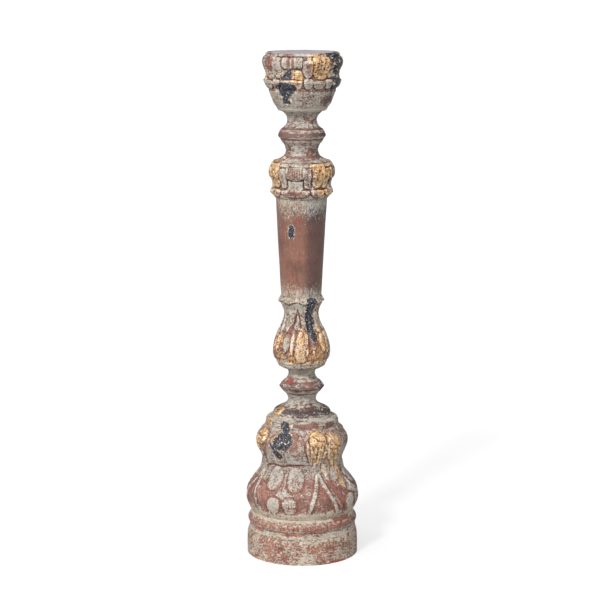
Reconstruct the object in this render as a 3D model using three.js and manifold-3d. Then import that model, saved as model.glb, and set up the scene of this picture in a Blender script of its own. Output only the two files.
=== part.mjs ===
// Altar candlestick. Turned and carved wooden sections stand on one axis, and
// glued dowels join them. Four screws driven from below hold the base together.
// Millimetres, +Z up. The origin is the middle of the underside.
import * as THREE from "three";
import { mergeVertices } from "three/addons/utils/BufferGeometryUtils.js";
import Module from "manifold-3d";

// ---- Driving dimensions ----

// Height of each seam above the underside. A section runs from its seam to the next.
const SEAM = {
  plinth: 0,
  baseRing: 35.5,
  carvedBell: 54.2,
  capDisc: 161,
  lowerKnop: 170.2,
  baluster: 230.3,
  shaft: 319,
  capital: 437.2,
  upperKnop: 481.5,
  cup: 541.5,
  top: 610,
};

const FIT_GAP = 0.3; // clearance round every dowel, screw and plate
const GLUE_SPACE = 0.6; // depth left past each end of a dowel

const DOWEL = { radius: 8, hold: 14, flutes: 8, fluteDepth: 0.8, chamfer: 1 };
const PLATE = { radius: 38, thickness: 1.8, edgeBevel: 0.5 };

const SCREW = {
  count: 4,
  circleRadius: 44,
  firstAngle: Math.PI / 4,
  headSeat: 12, // height of the counterbore's floor
  headRadius: 4.8,
  headHeight: 3.2,
  shankRadius: 2.3,
  shankLength: 30,
  threadCrest: 2.6,
  threadRoot: 1.8,
  threadTurns: 4,
  pitch: 5.5,
  tipLength: 4,
  recessWidth: 1.1,
  recessDepth: 1.8,
};

// The carving repeats on eight faces. One of them stands this far round from the front.
const CARVED_FACES = 8;
const CARVING_TURN = THREE.MathUtils.degToRad(-17);
const FRONT = -Math.PI / 2;

const WIDE_SEGMENTS = 48;
const KNOP_SEGMENTS = 36;
const CARVED_SEGMENTS = 64;
const SMALL_SEGMENTS = 10;

const COLOURS = {
  limewash: 0xb2ac9e,
  worn: 0xa3897c,
  stained: 0x966958,
  gilded: 0xc4a274,
  plate: 0x9d96a0,
  beech: 0xc9a77a,
  steel: 0x8c8c8a,
};

// ---- Outer outlines ----
// Each outline is a list of stretches from the lower seam up. A stretch is a
// list of stations [radius, height above the underside]: two stations make a
// straight turning, more make one flowing curve. Stretches meet at crisp edges.

const OUTLINES = {
  plinth: [
    [[67.4, SEAM.plinth], [67.4, 18]],
    [[67.4, 18], [66.8, 27], [65.2, 32], [64.4, SEAM.baseRing]],
  ],
  baseRing: [
    [[64.4, SEAM.baseRing], [65.4, 40], [66.5, 43.7], [65.4, 47], [63, 50.8], [62.2, SEAM.carvedBell]],
  ],
  carvedBell: [
    [
      [62.4, SEAM.carvedBell], [66.6, 63], [69, 75], [66.4, 85], [60.8, 93], [53.9, 102],
      [50.1, 109.5], [50, 118], [53.2, 127], [56.8, 136], [57.5, 143], [55.2, 150], [49.4, 155.4],
      [44.6, SEAM.capDisc],
    ],
  ],
  capDisc: [
    [[44.3, SEAM.capDisc], [44.2, 166]],
    [[44.2, 166], [43.3, 168.7], [40.8, SEAM.lowerKnop]],
  ],
  lowerKnop: [
    [
      [35.8, SEAM.lowerKnop], [35, 175.4], [32.8, 179.2], [27.4, 182.2], [20.8, 185.4], [17.7, 189.6],
      [17.4, 193], [19.4, 197.4],
    ],
    [[20.2, 198.2], [23.8, 202], [27.6, 207.3]],
    [[27.6, 207.3], [24, 212.6]],
    [[23.2, 213.4], [18.6, 217.3], [16.4, 222.4], [17, 226.4], [19.4, SEAM.baluster]],
  ],
  baluster: [
    [
      [22.6, SEAM.baluster], [28.6, 233.4], [31.6, 240], [34, 247], [34.2, 253.5], [32.4, 264],
      [28.4, 275], [23.7, 286], [21.3, 295], [22.2, 302.4], [24.2, 307.4], [27.4, 312.7],
    ],
    [[27.4, 312.7], [24.8, 317.4], [24.4, SEAM.shaft]],
  ],
  shaft: [
    [[24.4, SEAM.shaft], [30.9, SEAM.capital]],
  ],
  capital: [
    [
      [31.4, SEAM.capital], [35.6, 441.2], [38, 445], [36.4, 448.4], [34.8, 452.4], [35.5, 458],
      [38.4, 463], [39.5, 468.3], [38.2, 474.4], [34.6, SEAM.upperKnop],
    ],
  ],
  upperKnop: [
    [[33.9, SEAM.upperKnop], [29, 483.3], [22.6, 487], [19.9, 491.4], [19.8, 495.6], [21.2, 500.2]],
    [[22.2, 501.8], [24.6, 504.6], [28.9, 511.6]],
    [[28.9, 511.6], [25.6, 518.6]],
    [[24.6, 519.8], [20.2, 523.1], [17.9, 528.4], [18.3, 532.6], [20.2, 536.4], [26.2, SEAM.cup]],
  ],
  cup: [
    [[28.6, SEAM.cup], [30.6, 545]],
    [
      [30.6, 545], [34.4, 550.4], [38, 560], [41.6, 567.6], [45.2, 573.4], [45.8, 576.4], [44, 580.6],
      [43.5, 585.6], [45.7, 591.2], [47.6, 598], [46.7, 603], [45, 606.4],
    ],
    [[45, 606.4], [44.2, 608.4], [42.2, SEAM.top]],
  ],
};

// Bands of carving, as grooves cut between the eight faces.
const CARVED_BANDS = {
  carvedBell: [
    { from: 58, to: 108, depth: 2.2 },
    { from: 118, to: 158, depth: 2 },
  ],
  baluster: [
    { from: 234, to: 296, depth: 1.6 },
    { from: 306, to: 317, depth: 0.9 },
  ],
  capital: [{ from: 440, to: 479, depth: 1.2 }],
  cup: [{ from: 567, to: 606, depth: 1.5 }],
};

// ---- Solids ----

const wasm = await Module();
wasm.setup();

function onlyPositions(geometry) {
  const bare = geometry.clone();
  bare.deleteAttribute("normal");
  bare.deleteAttribute("uv");
  return mergeVertices(bare, 1e-4);
}

function toSolid(geometry) {
  const merged = onlyPositions(geometry);
  return new wasm.Manifold(
    new wasm.Mesh({
      numProp: 3,
      vertProperties: merged.attributes.position.array,
      triVerts: new Uint32Array(merged.index.array),
    }),
  );
}

function toGeometry(solid) {
  const mesh = solid.getMesh();
  const geometry = new THREE.BufferGeometry();
  geometry.setAttribute("position", new THREE.BufferAttribute(mesh.vertProperties, 3));
  geometry.setIndex(new THREE.BufferAttribute(mesh.triVerts, 1));
  geometry.computeVertexNormals();
  return geometry;
}

function cut(geometry, cutters) {
  let solid = toSolid(geometry);
  for (const cutter of cutters) solid = solid.subtract(toSolid(cutter));
  return toGeometry(solid);
}

// ---- Turning ----

function outlinePoints(stretches) {
  const points = [];
  for (const stretch of stretches) {
    const stations = stretch.map(([radius, height]) => new THREE.Vector2(radius, height));
    const curved = stations.length > 2;
    points.push(...(curved ? new THREE.SplineCurve(stations).getPoints(stations.length) : stations));
  }
  return points.filter((point, i) => i === 0 || point.distanceTo(points[i - 1]) > 1e-6);
}

// Turns a profile of [radius, height] points about the upright axis.
function turn(points, segments) {
  const geometry = new THREE.LatheGeometry(points, segments);
  geometry.rotateX(Math.PI / 2);
  return geometry;
}

function socketFor(holdDepth) {
  return { radius: DOWEL.radius + FIT_GAP, depth: holdDepth + GLUE_SPACE };
}

// A solid section with a socket bored into its lower face, its upper face, or both.
function solidSection(outline, { below, above }, segments) {
  const wall = outlinePoints(outline);
  const low = wall[0].y;
  const high = wall.at(-1).y;
  const lowerSocket = below
    ? [[0, low + below.depth], [below.radius, low + below.depth], [below.radius, low]]
    : [[0, low]];
  const upperSocket = above
    ? [[above.radius, high], [above.radius, high - above.depth], [0, high - above.depth]]
    : [[0, high]];
  const corner = ([radius, height]) => new THREE.Vector2(radius, height);
  return turn([...lowerSocket.map(corner), ...wall, ...upperSocket.map(corner)], segments);
}

// A section bored right through for a dowel that passes it.
function boredSection(outline, segments) {
  const wall = outlinePoints(outline);
  const bore = DOWEL.radius + FIT_GAP;
  const inner = [new THREE.Vector2(bore, wall.at(-1).y), new THREE.Vector2(bore, wall[0].y)];
  return turn([...wall, ...inner, wall[0].clone()], segments);
}

// Cuts the shallow valleys between the carved faces into an outer wall.
function carve(geometry, bands) {
  const position = geometry.attributes.position;
  const point = new THREE.Vector3();
  for (let i = 0; i < position.count; i++) {
    point.fromBufferAttribute(position, i);
    const radius = Math.hypot(point.x, point.y);
    if (radius < 2 * DOWEL.radius) continue;
    const angle = Math.atan2(point.y, point.x) - FRONT - CARVING_TURN;
    const valley = 0.5 - 0.5 * Math.cos(CARVED_FACES * angle);
    for (const { from, to, depth } of bands) {
      if (point.z <= from || point.z >= to) continue;
      const swell = Math.sin((Math.PI * (point.z - from)) / (to - from));
      const scale = 1 - (depth * valley * swell) / radius;
      position.setXY(i, point.x * scale, point.y * scale);
    }
  }
  return geometry;
}

// ---- Fastenings ----

// A beech dowel with glue flutes down its sides, standing with its foot at z = 0.
function flutedDowel(length) {
  const corners = [];
  for (let i = 0; i < 2 * DOWEL.flutes; i++) {
    const angle = (Math.PI * i) / DOWEL.flutes;
    const radius = DOWEL.radius - (i % 2) * DOWEL.fluteDepth;
    corners.push(new THREE.Vector2(radius * Math.cos(angle), radius * Math.sin(angle)));
  }
  const geometry = new THREE.ExtrudeGeometry(new THREE.Shape(corners), {
    depth: length - 2 * DOWEL.chamfer,
    bevelThickness: DOWEL.chamfer,
    bevelSize: DOWEL.chamfer,
    bevelOffset: -DOWEL.chamfer,
    bevelSegments: 1,
  });
  return geometry.translate(0, 0, DOWEL.chamfer);
}

function screwLength() {
  return SCREW.shankLength + SCREW.threadTurns * SCREW.pitch + SCREW.tipLength;
}

// A pan-head wood screw, head down, with its head's bearing face at z = 0.
function woodScrew() {
  const { headRadius, headHeight, shankRadius, shankLength, threadCrest, threadRoot, pitch } = SCREW;
  const profile = [
    [0, -headHeight], [headRadius * 0.7, -headHeight], [headRadius, -headHeight * 0.5], [headRadius, 0],
    [shankRadius, 0], [shankRadius, shankLength],
  ];
  for (let i = 0; i < SCREW.threadTurns; i++) {
    const start = shankLength + i * pitch;
    profile.push([threadRoot, start + pitch * 0.2], [threadCrest, start + pitch * 0.7]);
  }
  profile.push([threadRoot, screwLength() - SCREW.tipLength], [0, screwLength()]);
  const body = turn(profile.map(([radius, height]) => new THREE.Vector2(radius, height)), SMALL_SEGMENTS);
  const slotHeight = 2 * SCREW.recessDepth;
  const slot = new THREE.BoxGeometry(headRadius * 1.2, SCREW.recessWidth, slotHeight);
  const crossSlot = slot.clone().rotateZ(Math.PI / 2);
  return cut(body, [slot, crossSlot].map((bar) => bar.translate(0, 0, -headHeight)));
}

function screwPlaces() {
  return Array.from({ length: SCREW.count }, (_, i) => {
    const angle = SCREW.firstAngle + (2 * Math.PI * i) / SCREW.count;
    return new THREE.Vector2(SCREW.circleRadius * Math.cos(angle), SCREW.circleRadius * Math.sin(angle));
  });
}

function uprightHole(place, radius, low, high) {
  const hole = new THREE.CylinderGeometry(radius, radius, high - low, SMALL_SEGMENTS);
  return hole.rotateX(Math.PI / 2).translate(place.x, place.y, (low + high) / 2);
}

// The counterbores and shank holes of the base screws, as one list of cutters.
function screwHoles(low, high) {
  const shankHole = SCREW.threadCrest + FIT_GAP;
  return screwPlaces().map((place) => uprightHole(place, shankHole, low, high));
}

function counterbores() {
  const radius = SCREW.headRadius + FIT_GAP;
  return screwPlaces().map((place) => uprightHole(place, radius, SEAM.plinth - 1, SCREW.headSeat));
}

// ---- Assembly ----

const candlestick = new THREE.Group();

function addPiece(name, geometry, colour, roughness, metalness = 0) {
  const material = new THREE.MeshStandardMaterial({ color: colour, roughness, metalness });
  const mesh = new THREE.Mesh(geometry, material);
  mesh.name = name;
  candlestick.add(mesh);
  return mesh;
}

const socket = socketFor(DOWEL.hold);
const screwTip = SCREW.headSeat + screwLength() + GLUE_SPACE;

const plinthBlank = solidSection(OUTLINES.plinth, { above: socket }, WIDE_SEGMENTS);
const plinth = cut(plinthBlank, [
  ...counterbores(),
  ...screwHoles(SCREW.headSeat - 1, SEAM.baseRing + 1),
]);
addPiece("plinth", plinth, COLOURS.worn, 0.85);

const ringBlank = boredSection(OUTLINES.baseRing, WIDE_SEGMENTS);
const ring = cut(ringBlank, screwHoles(SEAM.baseRing - 1, SEAM.carvedBell + 1));
addPiece("base_ring", ring, COLOURS.worn, 0.85);

const bothEnds = { below: socket, above: socket };
const bellBlank = solidSection(OUTLINES.carvedBell, bothEnds, CARVED_SEGMENTS);
const bell = cut(carve(bellBlank, CARVED_BANDS.carvedBell), screwHoles(SEAM.carvedBell - 1, screwTip));
addPiece("carved_bell", bell, COLOURS.limewash, 0.85);

addPiece("cap_disc", boredSection(OUTLINES.capDisc, WIDE_SEGMENTS), COLOURS.limewash, 0.85);
addPiece("lower_knop", solidSection(OUTLINES.lowerKnop, bothEnds, KNOP_SEGMENTS), COLOURS.limewash, 0.8);

const baluster = solidSection(OUTLINES.baluster, bothEnds, CARVED_SEGMENTS);
addPiece("baluster", carve(baluster, CARVED_BANDS.baluster), COLOURS.gilded, 0.5, 0.3);

addPiece("shaft", solidSection(OUTLINES.shaft, bothEnds, WIDE_SEGMENTS), COLOURS.stained, 0.5);

const capital = solidSection(OUTLINES.capital, bothEnds, CARVED_SEGMENTS);
addPiece("capital", carve(capital, CARVED_BANDS.capital), COLOURS.gilded, 0.5, 0.3);

addPiece("upper_knop", solidSection(OUTLINES.upperKnop, bothEnds, KNOP_SEGMENTS), COLOURS.limewash, 0.8);

const plateRebate = { radius: PLATE.radius + FIT_GAP, depth: PLATE.thickness };
const cup = solidSection(OUTLINES.cup, { below: socket, above: plateRebate }, CARVED_SEGMENTS);
addPiece("cup", carve(cup, CARVED_BANDS.cup), COLOURS.limewash, 0.8);

const plateProfile = [
  [0, 0],
  [PLATE.radius, 0],
  [PLATE.radius, PLATE.thickness - PLATE.edgeBevel],
  [PLATE.radius - PLATE.edgeBevel, PLATE.thickness],
  [0, PLATE.thickness],
].map(([radius, height]) => new THREE.Vector2(radius, height));
const plate = addPiece("candle_plate", turn(plateProfile, WIDE_SEGMENTS), COLOURS.plate, 0.55, 0.2);
plate.position.z = SEAM.top - PLATE.thickness;

// One dowel crosses each seam. The base ring and the cap disc are thin, so one
// long dowel passes right through each of them.
const DOWEL_SPANS = {
  base_dowel: [SEAM.baseRing, SEAM.carvedBell],
  cap_disc_dowel: [SEAM.capDisc, SEAM.lowerKnop],
  baluster_dowel: [SEAM.baluster, SEAM.baluster],
  shaft_dowel: [SEAM.shaft, SEAM.shaft],
  capital_dowel: [SEAM.capital, SEAM.capital],
  upper_knop_dowel: [SEAM.upperKnop, SEAM.upperKnop],
  cup_dowel: [SEAM.cup, SEAM.cup],
};
for (const [name, [lowSeam, highSeam]] of Object.entries(DOWEL_SPANS)) {
  const length = highSeam - lowSeam + 2 * DOWEL.hold;
  const dowel = addPiece(name, flutedDowel(length), COLOURS.beech, 0.7);
  dowel.position.z = lowSeam - DOWEL.hold;
}

screwPlaces().forEach((place, i) => {
  const screw = addPiece(`base_screw_${i + 1}`, woodScrew(), COLOURS.steel, 0.4, 0.9);
  screw.position.set(place.x, place.y, SCREW.headSeat);
});

export default candlestick;
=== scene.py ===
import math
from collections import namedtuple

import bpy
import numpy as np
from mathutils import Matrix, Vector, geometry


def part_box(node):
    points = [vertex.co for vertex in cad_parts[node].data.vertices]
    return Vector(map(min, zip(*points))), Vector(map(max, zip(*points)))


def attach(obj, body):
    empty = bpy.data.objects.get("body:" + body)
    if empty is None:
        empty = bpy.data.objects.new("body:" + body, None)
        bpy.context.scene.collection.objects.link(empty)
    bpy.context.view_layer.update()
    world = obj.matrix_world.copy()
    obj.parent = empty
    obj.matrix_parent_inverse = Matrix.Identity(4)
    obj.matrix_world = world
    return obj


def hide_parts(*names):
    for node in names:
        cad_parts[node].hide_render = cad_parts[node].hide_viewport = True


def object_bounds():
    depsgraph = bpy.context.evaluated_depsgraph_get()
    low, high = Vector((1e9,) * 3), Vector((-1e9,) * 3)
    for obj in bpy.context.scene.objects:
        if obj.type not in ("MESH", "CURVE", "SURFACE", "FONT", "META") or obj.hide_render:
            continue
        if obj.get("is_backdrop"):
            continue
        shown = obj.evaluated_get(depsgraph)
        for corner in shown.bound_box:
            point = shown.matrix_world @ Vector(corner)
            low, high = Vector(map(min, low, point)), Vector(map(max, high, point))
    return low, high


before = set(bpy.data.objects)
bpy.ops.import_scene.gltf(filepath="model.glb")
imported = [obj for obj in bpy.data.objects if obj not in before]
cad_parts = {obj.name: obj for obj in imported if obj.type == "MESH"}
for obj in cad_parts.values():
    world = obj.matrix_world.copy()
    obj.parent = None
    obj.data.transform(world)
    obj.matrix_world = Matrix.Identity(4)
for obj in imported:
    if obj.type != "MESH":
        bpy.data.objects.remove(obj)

# Altar candlestick: turned and carved wood under chipped limewash, gold leaf and
# blue-black paint. Every wooden section takes its outline from its node in the
# frame, and the carving and the paint are laid on that outline here.
#
# Places on the surface are given as (angle, height): the angle in degrees round
# the stick, 0 at the front and positive to the viewer's right, and the height in
# millimetres above the underside. All other sizes are in millimetres too.

cad_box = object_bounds()

MM = 0.001
SEED = 7

FIT_GAP = 0.3  # clearance round dowels, screws and the plate, as in the frame
GLUE_SPACE = 0.6  # depth past each end of a dowel
BORE_POINTS = 32
CURVE_STEPS = 5  # points on a curve between two drawn ones
WEAR_DEPTH = 0.2  # wood and paint lost from the whole surface
HOLLOW_REACH = 2.2  # distance over which the surface is compared with its surroundings
HOLLOW_DEPTH = 0.7  # relief that counts as fully hollow or fully raised

QUARTERS = (0, 90, 180, 270)
PATCH_KINDS = ("gold", "black", "red", "cream")
NO_PAINT = -20  # depth inside a patch of paint, far away from any
WHOLE = 20  # limit on that depth for a patch that isn't broken up


# ---- Numbers ----


def smooth(value, low, high):
    """0 below low, 1 above high, with a smooth rise between. low may be above high."""
    t = np.clip((value - low) / (high - low), 0, 1)
    return t * t * (3 - 2 * t)


def turned_by(angle, centre):
    """The angle from centre, from -180 to 180 degrees."""
    return (angle - centre + 180) % 360 - 180


def bell_curve(value, centre, spread):
    return np.exp(-(((value - centre) / spread) ** 2))


# Large primes, which scramble a corner of the noise's lattice and the seed into one number.
CORNER_PRIMES = (73856093, 19349663, 83492791)
SEED_PRIME = 2654435761
SCRAMBLE_PRIME = 1274126177


def lattice_noise(points, size, seed):
    """Smooth noise from -1 to 1 on points in millimetres, with features of about size."""
    cell = points / size
    base = np.floor(cell).astype(np.int64)
    part = cell - base
    part = part * part * (3 - 2 * part)
    total = np.zeros(points.shape[:-1])
    for corner in np.ndindex(2, 2, 2):
        x, y, z = np.moveaxis((base + corner) * CORNER_PRIMES, -1, 0)
        mixed = x ^ y ^ z ^ seed * SEED_PRIME
        mixed = (mixed ^ (mixed >> 13)) * SCRAMBLE_PRIME
        level = ((mixed ^ (mixed >> 16)) & 0xFFFF) / 0xFFFF
        share = np.ones(points.shape[:-1])
        for axis in range(3):
            share = share * (part[..., axis] if corner[axis] else 1 - part[..., axis])
        total += share * level
    return 2 * total - 1


def rough_noise(points, size, seed):
    """Three sizes of noise, each half as large and half as strong as the one before."""
    return sum(lattice_noise(points, size / 2**n, seed + n) / 2**n for n in range(3)) / 1.6


def blurred(field, rows, columns):
    """Box-blurs a field three times. Columns wrap round the stick, rows stop at the ends."""
    for reach, border in ((rows, "edge"), (columns, "wrap")) * 3:
        padded = np.pad(field, ((reach + 1, reach), (0, 0)), mode=border)
        sums = np.cumsum(padded, axis=0)
        field = ((sums[2 * reach + 1 :] - sums[: -2 * reach - 1]) / (2 * reach + 1)).T
    return field


def closed_curve(points):
    """A smooth closed curve through the points."""
    before, after, far = np.roll(points, 1, 0), np.roll(points, -1, 0), np.roll(points, -2, 0)
    slope = after - before
    bend = 2 * before - 5 * points + 4 * after - far
    twist = 3 * points - before - 3 * after + far
    steps = np.arange(CURVE_STEPS) / CURVE_STEPS
    curve = [0.5 * (2 * points + slope * t + bend * t**2 + twist * t**3) for t in steps]
    return np.stack(curve, 1).reshape(-1, 2)


def distance_to_path(x, y, path, closed):
    """Distance from each place to the nearest point of a path of straight steps."""
    ends = np.roll(path, -1, 0) if closed else path[1:]
    nearest = np.full(x.shape, np.inf)
    for (x0, y0), (x1, y1) in zip(path, ends):
        dx, dy = x1 - x0, y1 - y0
        along = np.clip(((x - x0) * dx + (y - y0) * dy) / max(dx * dx + dy * dy, 1e-12), 0, 1)
        nearest = np.minimum(nearest, np.hypot(x - x0 - along * dx, y - y0 - along * dy))
    return nearest


def depth_inside(x, y, outline):
    """Distance to a closed outline, positive inside and negative outside."""
    inside = np.zeros(x.shape, bool)
    for (x0, y0), (x1, y1) in zip(outline, np.roll(outline, -1, 0)):
        if y0 == y1:
            continue
        crosses = (y0 > y) != (y1 > y)
        inside ^= crosses & (x < (x1 - x0) * (y - y0) / (y1 - y0) + x0)
    distance = distance_to_path(x, y, outline, closed=True)
    return np.where(inside, distance, -distance)


# ---- Outlines from the frame ----


def node_outline(name):
    """The outer outline of a turned node as rows of (radius, height), lowest first."""
    points = np.array([v.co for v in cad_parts[name].data.vertices]) / MM
    radius = np.hypot(points[:, 0], points[:, 1])
    levels = np.unique(np.round(points[:, 2], 2))
    outer = np.array([radius[np.abs(points[:, 2] - level) < 0.02].max() for level in levels])
    # A level that only belongs to a socket, a screw hole or the plate's rebate lies
    # inside the line between its neighbours. The deepest goes first.
    while True:
        along = (levels[1:-1] - levels[:-2]) / (levels[2:] - levels[:-2])
        share = outer[1:-1] / (outer[:-2] + (outer[2:] - outer[:-2]) * along)
        if not len(share) or share.min() > 0.9:
            break
        lowest = int(share.argmin()) + 1
        outer, levels = np.delete(outer, lowest), np.delete(levels, lowest)
    return np.stack([outer, levels], 1)


def smoothed_outline(corners, spacing, crisp=math.radians(34)):
    """Rows along a curve through an outline's corners, which keeps the crisp ones."""
    steps = np.diff(corners, axis=0)
    length = np.hypot(steps[:, 0], steps[:, 1])
    heading = np.arctan2(steps[:, 1], steps[:, 0])
    bends = np.abs((np.diff(heading) + np.pi) % (2 * np.pi) - np.pi)
    breaks = [0, *(np.nonzero(bends > crisp)[0] + 1), len(corners) - 1]
    rows = []
    for start, stop in zip(breaks, breaks[1:]):
        part = corners[start : stop + 1]
        along = np.concatenate([[0], np.cumsum(length[start:stop])])
        count = max(2, int(round(along[-1] / spacing)))
        wanted = np.linspace(0, along[-1], count + 1)[:-1]
        slope = np.tile(steps[start] / length[start], (2, 1))
        if len(part) > 2:
            slope = np.gradient(part, along, axis=0)
        seat = np.clip(np.searchsorted(along, wanted, side="right") - 1, 0, len(part) - 2)
        gap = (along[seat + 1] - along[seat])[:, None]
        t = (wanted - along[seat])[:, None] / gap
        rows.append(
            (2 * t**3 - 3 * t**2 + 1) * part[seat]
            + (t**3 - 2 * t**2 + t) * gap * slope[seat]
            + (3 * t**2 - 2 * t**3) * part[seat + 1]
            + (t**3 - t**2) * gap * slope[seat + 1]
        )
    return np.concatenate([*rows, corners[-1:]])


# ---- Walls: the carved outer surface of a section ----


def round_the_stick(radius, angle, height):
    """Points in space for places on the stick."""
    turn = np.radians(angle)
    return np.stack([radius * np.sin(turn), -radius * np.cos(turn), height], -1)


def stick_lean(height):
    """Sideways drift of the old stick, which isn't quite straight."""
    return np.interp(height, [0, 130, 250, 380, 470, 610], [0, -0.1, -1.1, -1.5, -0.7, 0.2])


def row_normals(rows):
    """The outward directions of an outline's rows, softened over a few rows."""
    tangent = np.gradient(rows, axis=0)
    tangent /= np.maximum(np.hypot(tangent[:, 0], tangent[:, 1]), 1e-9)[:, None]
    normal = np.stack([tangent[:, 1], -tangent[:, 0]], 1)
    for _ in range(4):
        padded = np.pad(normal, ((1, 1), (0, 0)), mode="edge")
        normal = (padded[:-2] + 2 * padded[1:-1] + padded[2:]) / 4
    return normal / np.hypot(normal[:, 0], normal[:, 1])[:, None]


class Wall:
    """A grid of rows up a section's outline and columns round it, with relief and paint.

    Motifs are carved and painted self.turn degrees round the stick from where they are drawn.
    """

    def __init__(self, name, spacing, columns, top_land=None):
        rows = smoothed_outline(node_outline(name), spacing)
        self.low, self.high = rows[0, 1], rows[-1, 1]
        self.has_land = top_land is not None
        if self.has_land:
            steps = max(2, int((rows[-1, 0] - top_land) / spacing))
            land = np.linspace(rows[-1, 0], top_land, steps + 1)[1:]
            rows = np.concatenate([rows, np.stack([land, np.full(len(land), self.high)], 1)])
        self.name, self.columns, self.rows = name, columns, rows
        self.angle, self.height = np.meshgrid(np.arange(columns) * 360 / columns - 180, rows[:, 1])
        self.radius = np.tile(rows[:, :1], (1, columns))
        self.mm_per_degree = math.radians(float(np.mean(rows[:, 0])))
        self.place = round_the_stick(self.radius, self.angle, self.height)
        self.turn = 0
        self.relief, self.wash, self.stain, self.warm = np.zeros((4, *self.angle.shape))
        self.layers = {kind: np.full(self.angle.shape, float(NO_PAINT)) for kind in PATCH_KINDS}

    def around(self, turns):
        """Runs a loop's body with the motifs turned by each of the turns, and then turns them back."""
        for self.turn in turns:
            yield
        self.turn = 0

    def fade(self, start, stop):
        """0 at the height of start and beyond, 1 at that of stop."""
        return smooth(self.height, start, stop)

    def near(self, height, spread):
        """1 at a height, falling off over spread mm above and below."""
        return bell_curve(self.height, height, spread)

    def window(self, points, margin):
        """The grid near some points: its index, x and y there, and the points, from their middle."""
        points = np.array(points, float)
        middle = points[:, 0].mean()
        points = (points - [middle, 0]) * [self.mm_per_degree, 1]
        low, high = points.min(0) - margin, points.max(0) + margin
        across = turned_by(self.angle[0], middle + self.turn) * self.mm_per_degree
        height = self.rows[:, 1]
        columns = np.nonzero((across > low[0]) & (across < high[0]))[0]
        rows = np.nonzero((height > low[1]) & (height < high[1]))[0]
        return np.ix_(rows, columns), *np.meshgrid(across[columns], height[rows]), points

    def inside(self, outline, margin, rounded=True):
        """The grid near an outline, and how deep inside it each place lies."""
        spot, x, y, points = self.window(outline, margin)
        return spot, depth_inside(x, y, closed_curve(points) if rounded else points)

    def beside(self, path, margin, closed=False):
        """The grid near a path, and how far from it each place lies."""
        spot, x, y, points = self.window(path, margin)
        return spot, distance_to_path(x, y, closed_curve(points) if closed else points, closed)

    def by_hand(self, points, wobble):
        """Hand-made difference between the repeats. The one at the front stays as drawn."""
        points = np.array(points, float)
        if self.turn:
            draws = np.random.default_rng(SEED + self.turn + len(points))
            points += draws.normal(0, wobble / 2, points.shape)
        return points

    def dome(self, spot, share, level, rise):
        """Raises part of the grid to level, climbing by rise as share goes from 0 to 1."""
        share = np.clip(share, 0, 1)
        shape = level - rise + rise * np.sqrt(1 - (1 - share) ** 2)
        ground = self.relief[spot]
        self.relief[spot] = np.where(share > 0, np.maximum(ground, shape), ground)

    def lift(self, outline, level, rise, edge, rounded=True, wobble=0.7):
        """Raises the inside of an outline, climbing over edge mm from its rim to a domed top."""
        spot, depth = self.inside(self.by_hand(outline, wobble), 2, rounded)
        self.dome(spot, depth / edge, level, rise)

    def ridge(self, path, width, level, rise, wobble=0.7):
        """Raises a round-topped ridge along a path."""
        spot, away = self.beside(self.by_hand(path, wobble), width)
        self.dome(spot, 1 - away / (width / 2), level, rise)

    def groove(self, path, width, depth):
        """Cuts a soft V groove along a path."""
        spot, away = self.beside(path, width)
        self.relief[spot] -= depth * smooth(away, width / 2, 0)

    def pits(self, places, radius, depth):
        for angle, height in places:
            self.groove([(angle, height), (angle, height + 0.01)], 2 * radius, depth)

    def sink(self, low, high, depth, soft=3.0):
        """Lowers the ground between two heights, so that the carving can stand on it."""
        half = soft / 2
        self.relief -= depth * self.fade(low - half, low + half) * self.fade(high + half, high - half)

    def patch(self, kind, outline, most=WHOLE):
        """Marks a patch of paint by the distance to its edge. A most near 0 leaves it broken."""
        spot, depth = self.inside(outline, 6)
        layer = self.layers[kind]
        layer[spot] = np.maximum(layer[spot], np.minimum(depth, most))

    def gold(self, outline, most=WHOLE):
        self.patch("gold", outline, most)

    def cream(self, outline, most=WHOLE):
        self.patch("cream", outline, most)

    def red(self, outline, most=WHOLE):
        self.patch("red", outline, most)

    def black(self, outline, most=WHOLE):
        self.patch("black", outline, most)

    def prime(self, wash, shade, start, stop):
        """An even limewash, and painted shade on the right side, from start to stop degrees and on to the
        back.
        """
        self.wash[:] = wash
        self.stain += shade * smooth(self.angle, start, stop) * smooth(self.angle, 175, 140)

    def wash_in(self, outline, amount, soft=2.5):
        """Adds or takes limewash inside an outline, fading over soft mm."""
        spot, depth = self.inside(outline, soft)
        self.wash[spot] += amount * smooth(depth, -soft, soft)

    def wash_along(self, path, amount, width, closed=False):
        """Adds or takes limewash along a path."""
        spot, away = self.beside(path, width, closed)
        self.wash[spot] += amount * smooth(away, width / 2, 0)

    def wash_rings(self, *rings):
        """Adds or takes limewash in rings, each given as its height, spread and amount."""
        for height, spread, amount in rings:
            self.wash += amount * self.near(height, spread)

    def weather(self, strength):
        """The unevenness of hand work: soft waves, tool dents and small knocks."""
        waves = 0.30 * rough_noise(self.place, 34, SEED)
        dents = 0.13 * rough_noise(self.place, 7, SEED + 10)
        knocks = -0.5 * smooth(lattice_noise(self.place, 9, SEED + 20), 0.62, 0.8)
        self.relief += strength * (waves + dents + knocks) - WEAR_DEPTH

    def crumple(self):
        """Old gold leaf lies in creases and blisters."""
        creases = lattice_noise(self.place * [1, 1, 0.6], 3.2, SEED + 30)
        creases += lattice_noise(self.place, 5.5, SEED + 31)
        self.relief += 0.34 * creases * smooth(self.layers["gold"], -0.5, 2)

    def hollows(self):
        """-1 in grooves and corners, 1 on raised edges."""
        row_mm = np.hypot(*np.diff(self.rows, axis=0).T).mean()
        column_mm = self.mm_per_degree * 360 / self.columns
        reach = [max(1, int(HOLLOW_REACH / step)) for step in (row_mm, column_mm)]
        return np.clip((self.relief - blurred(self.relief, *reach)) / HOLLOW_DEPTH, -1, 1)

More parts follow.
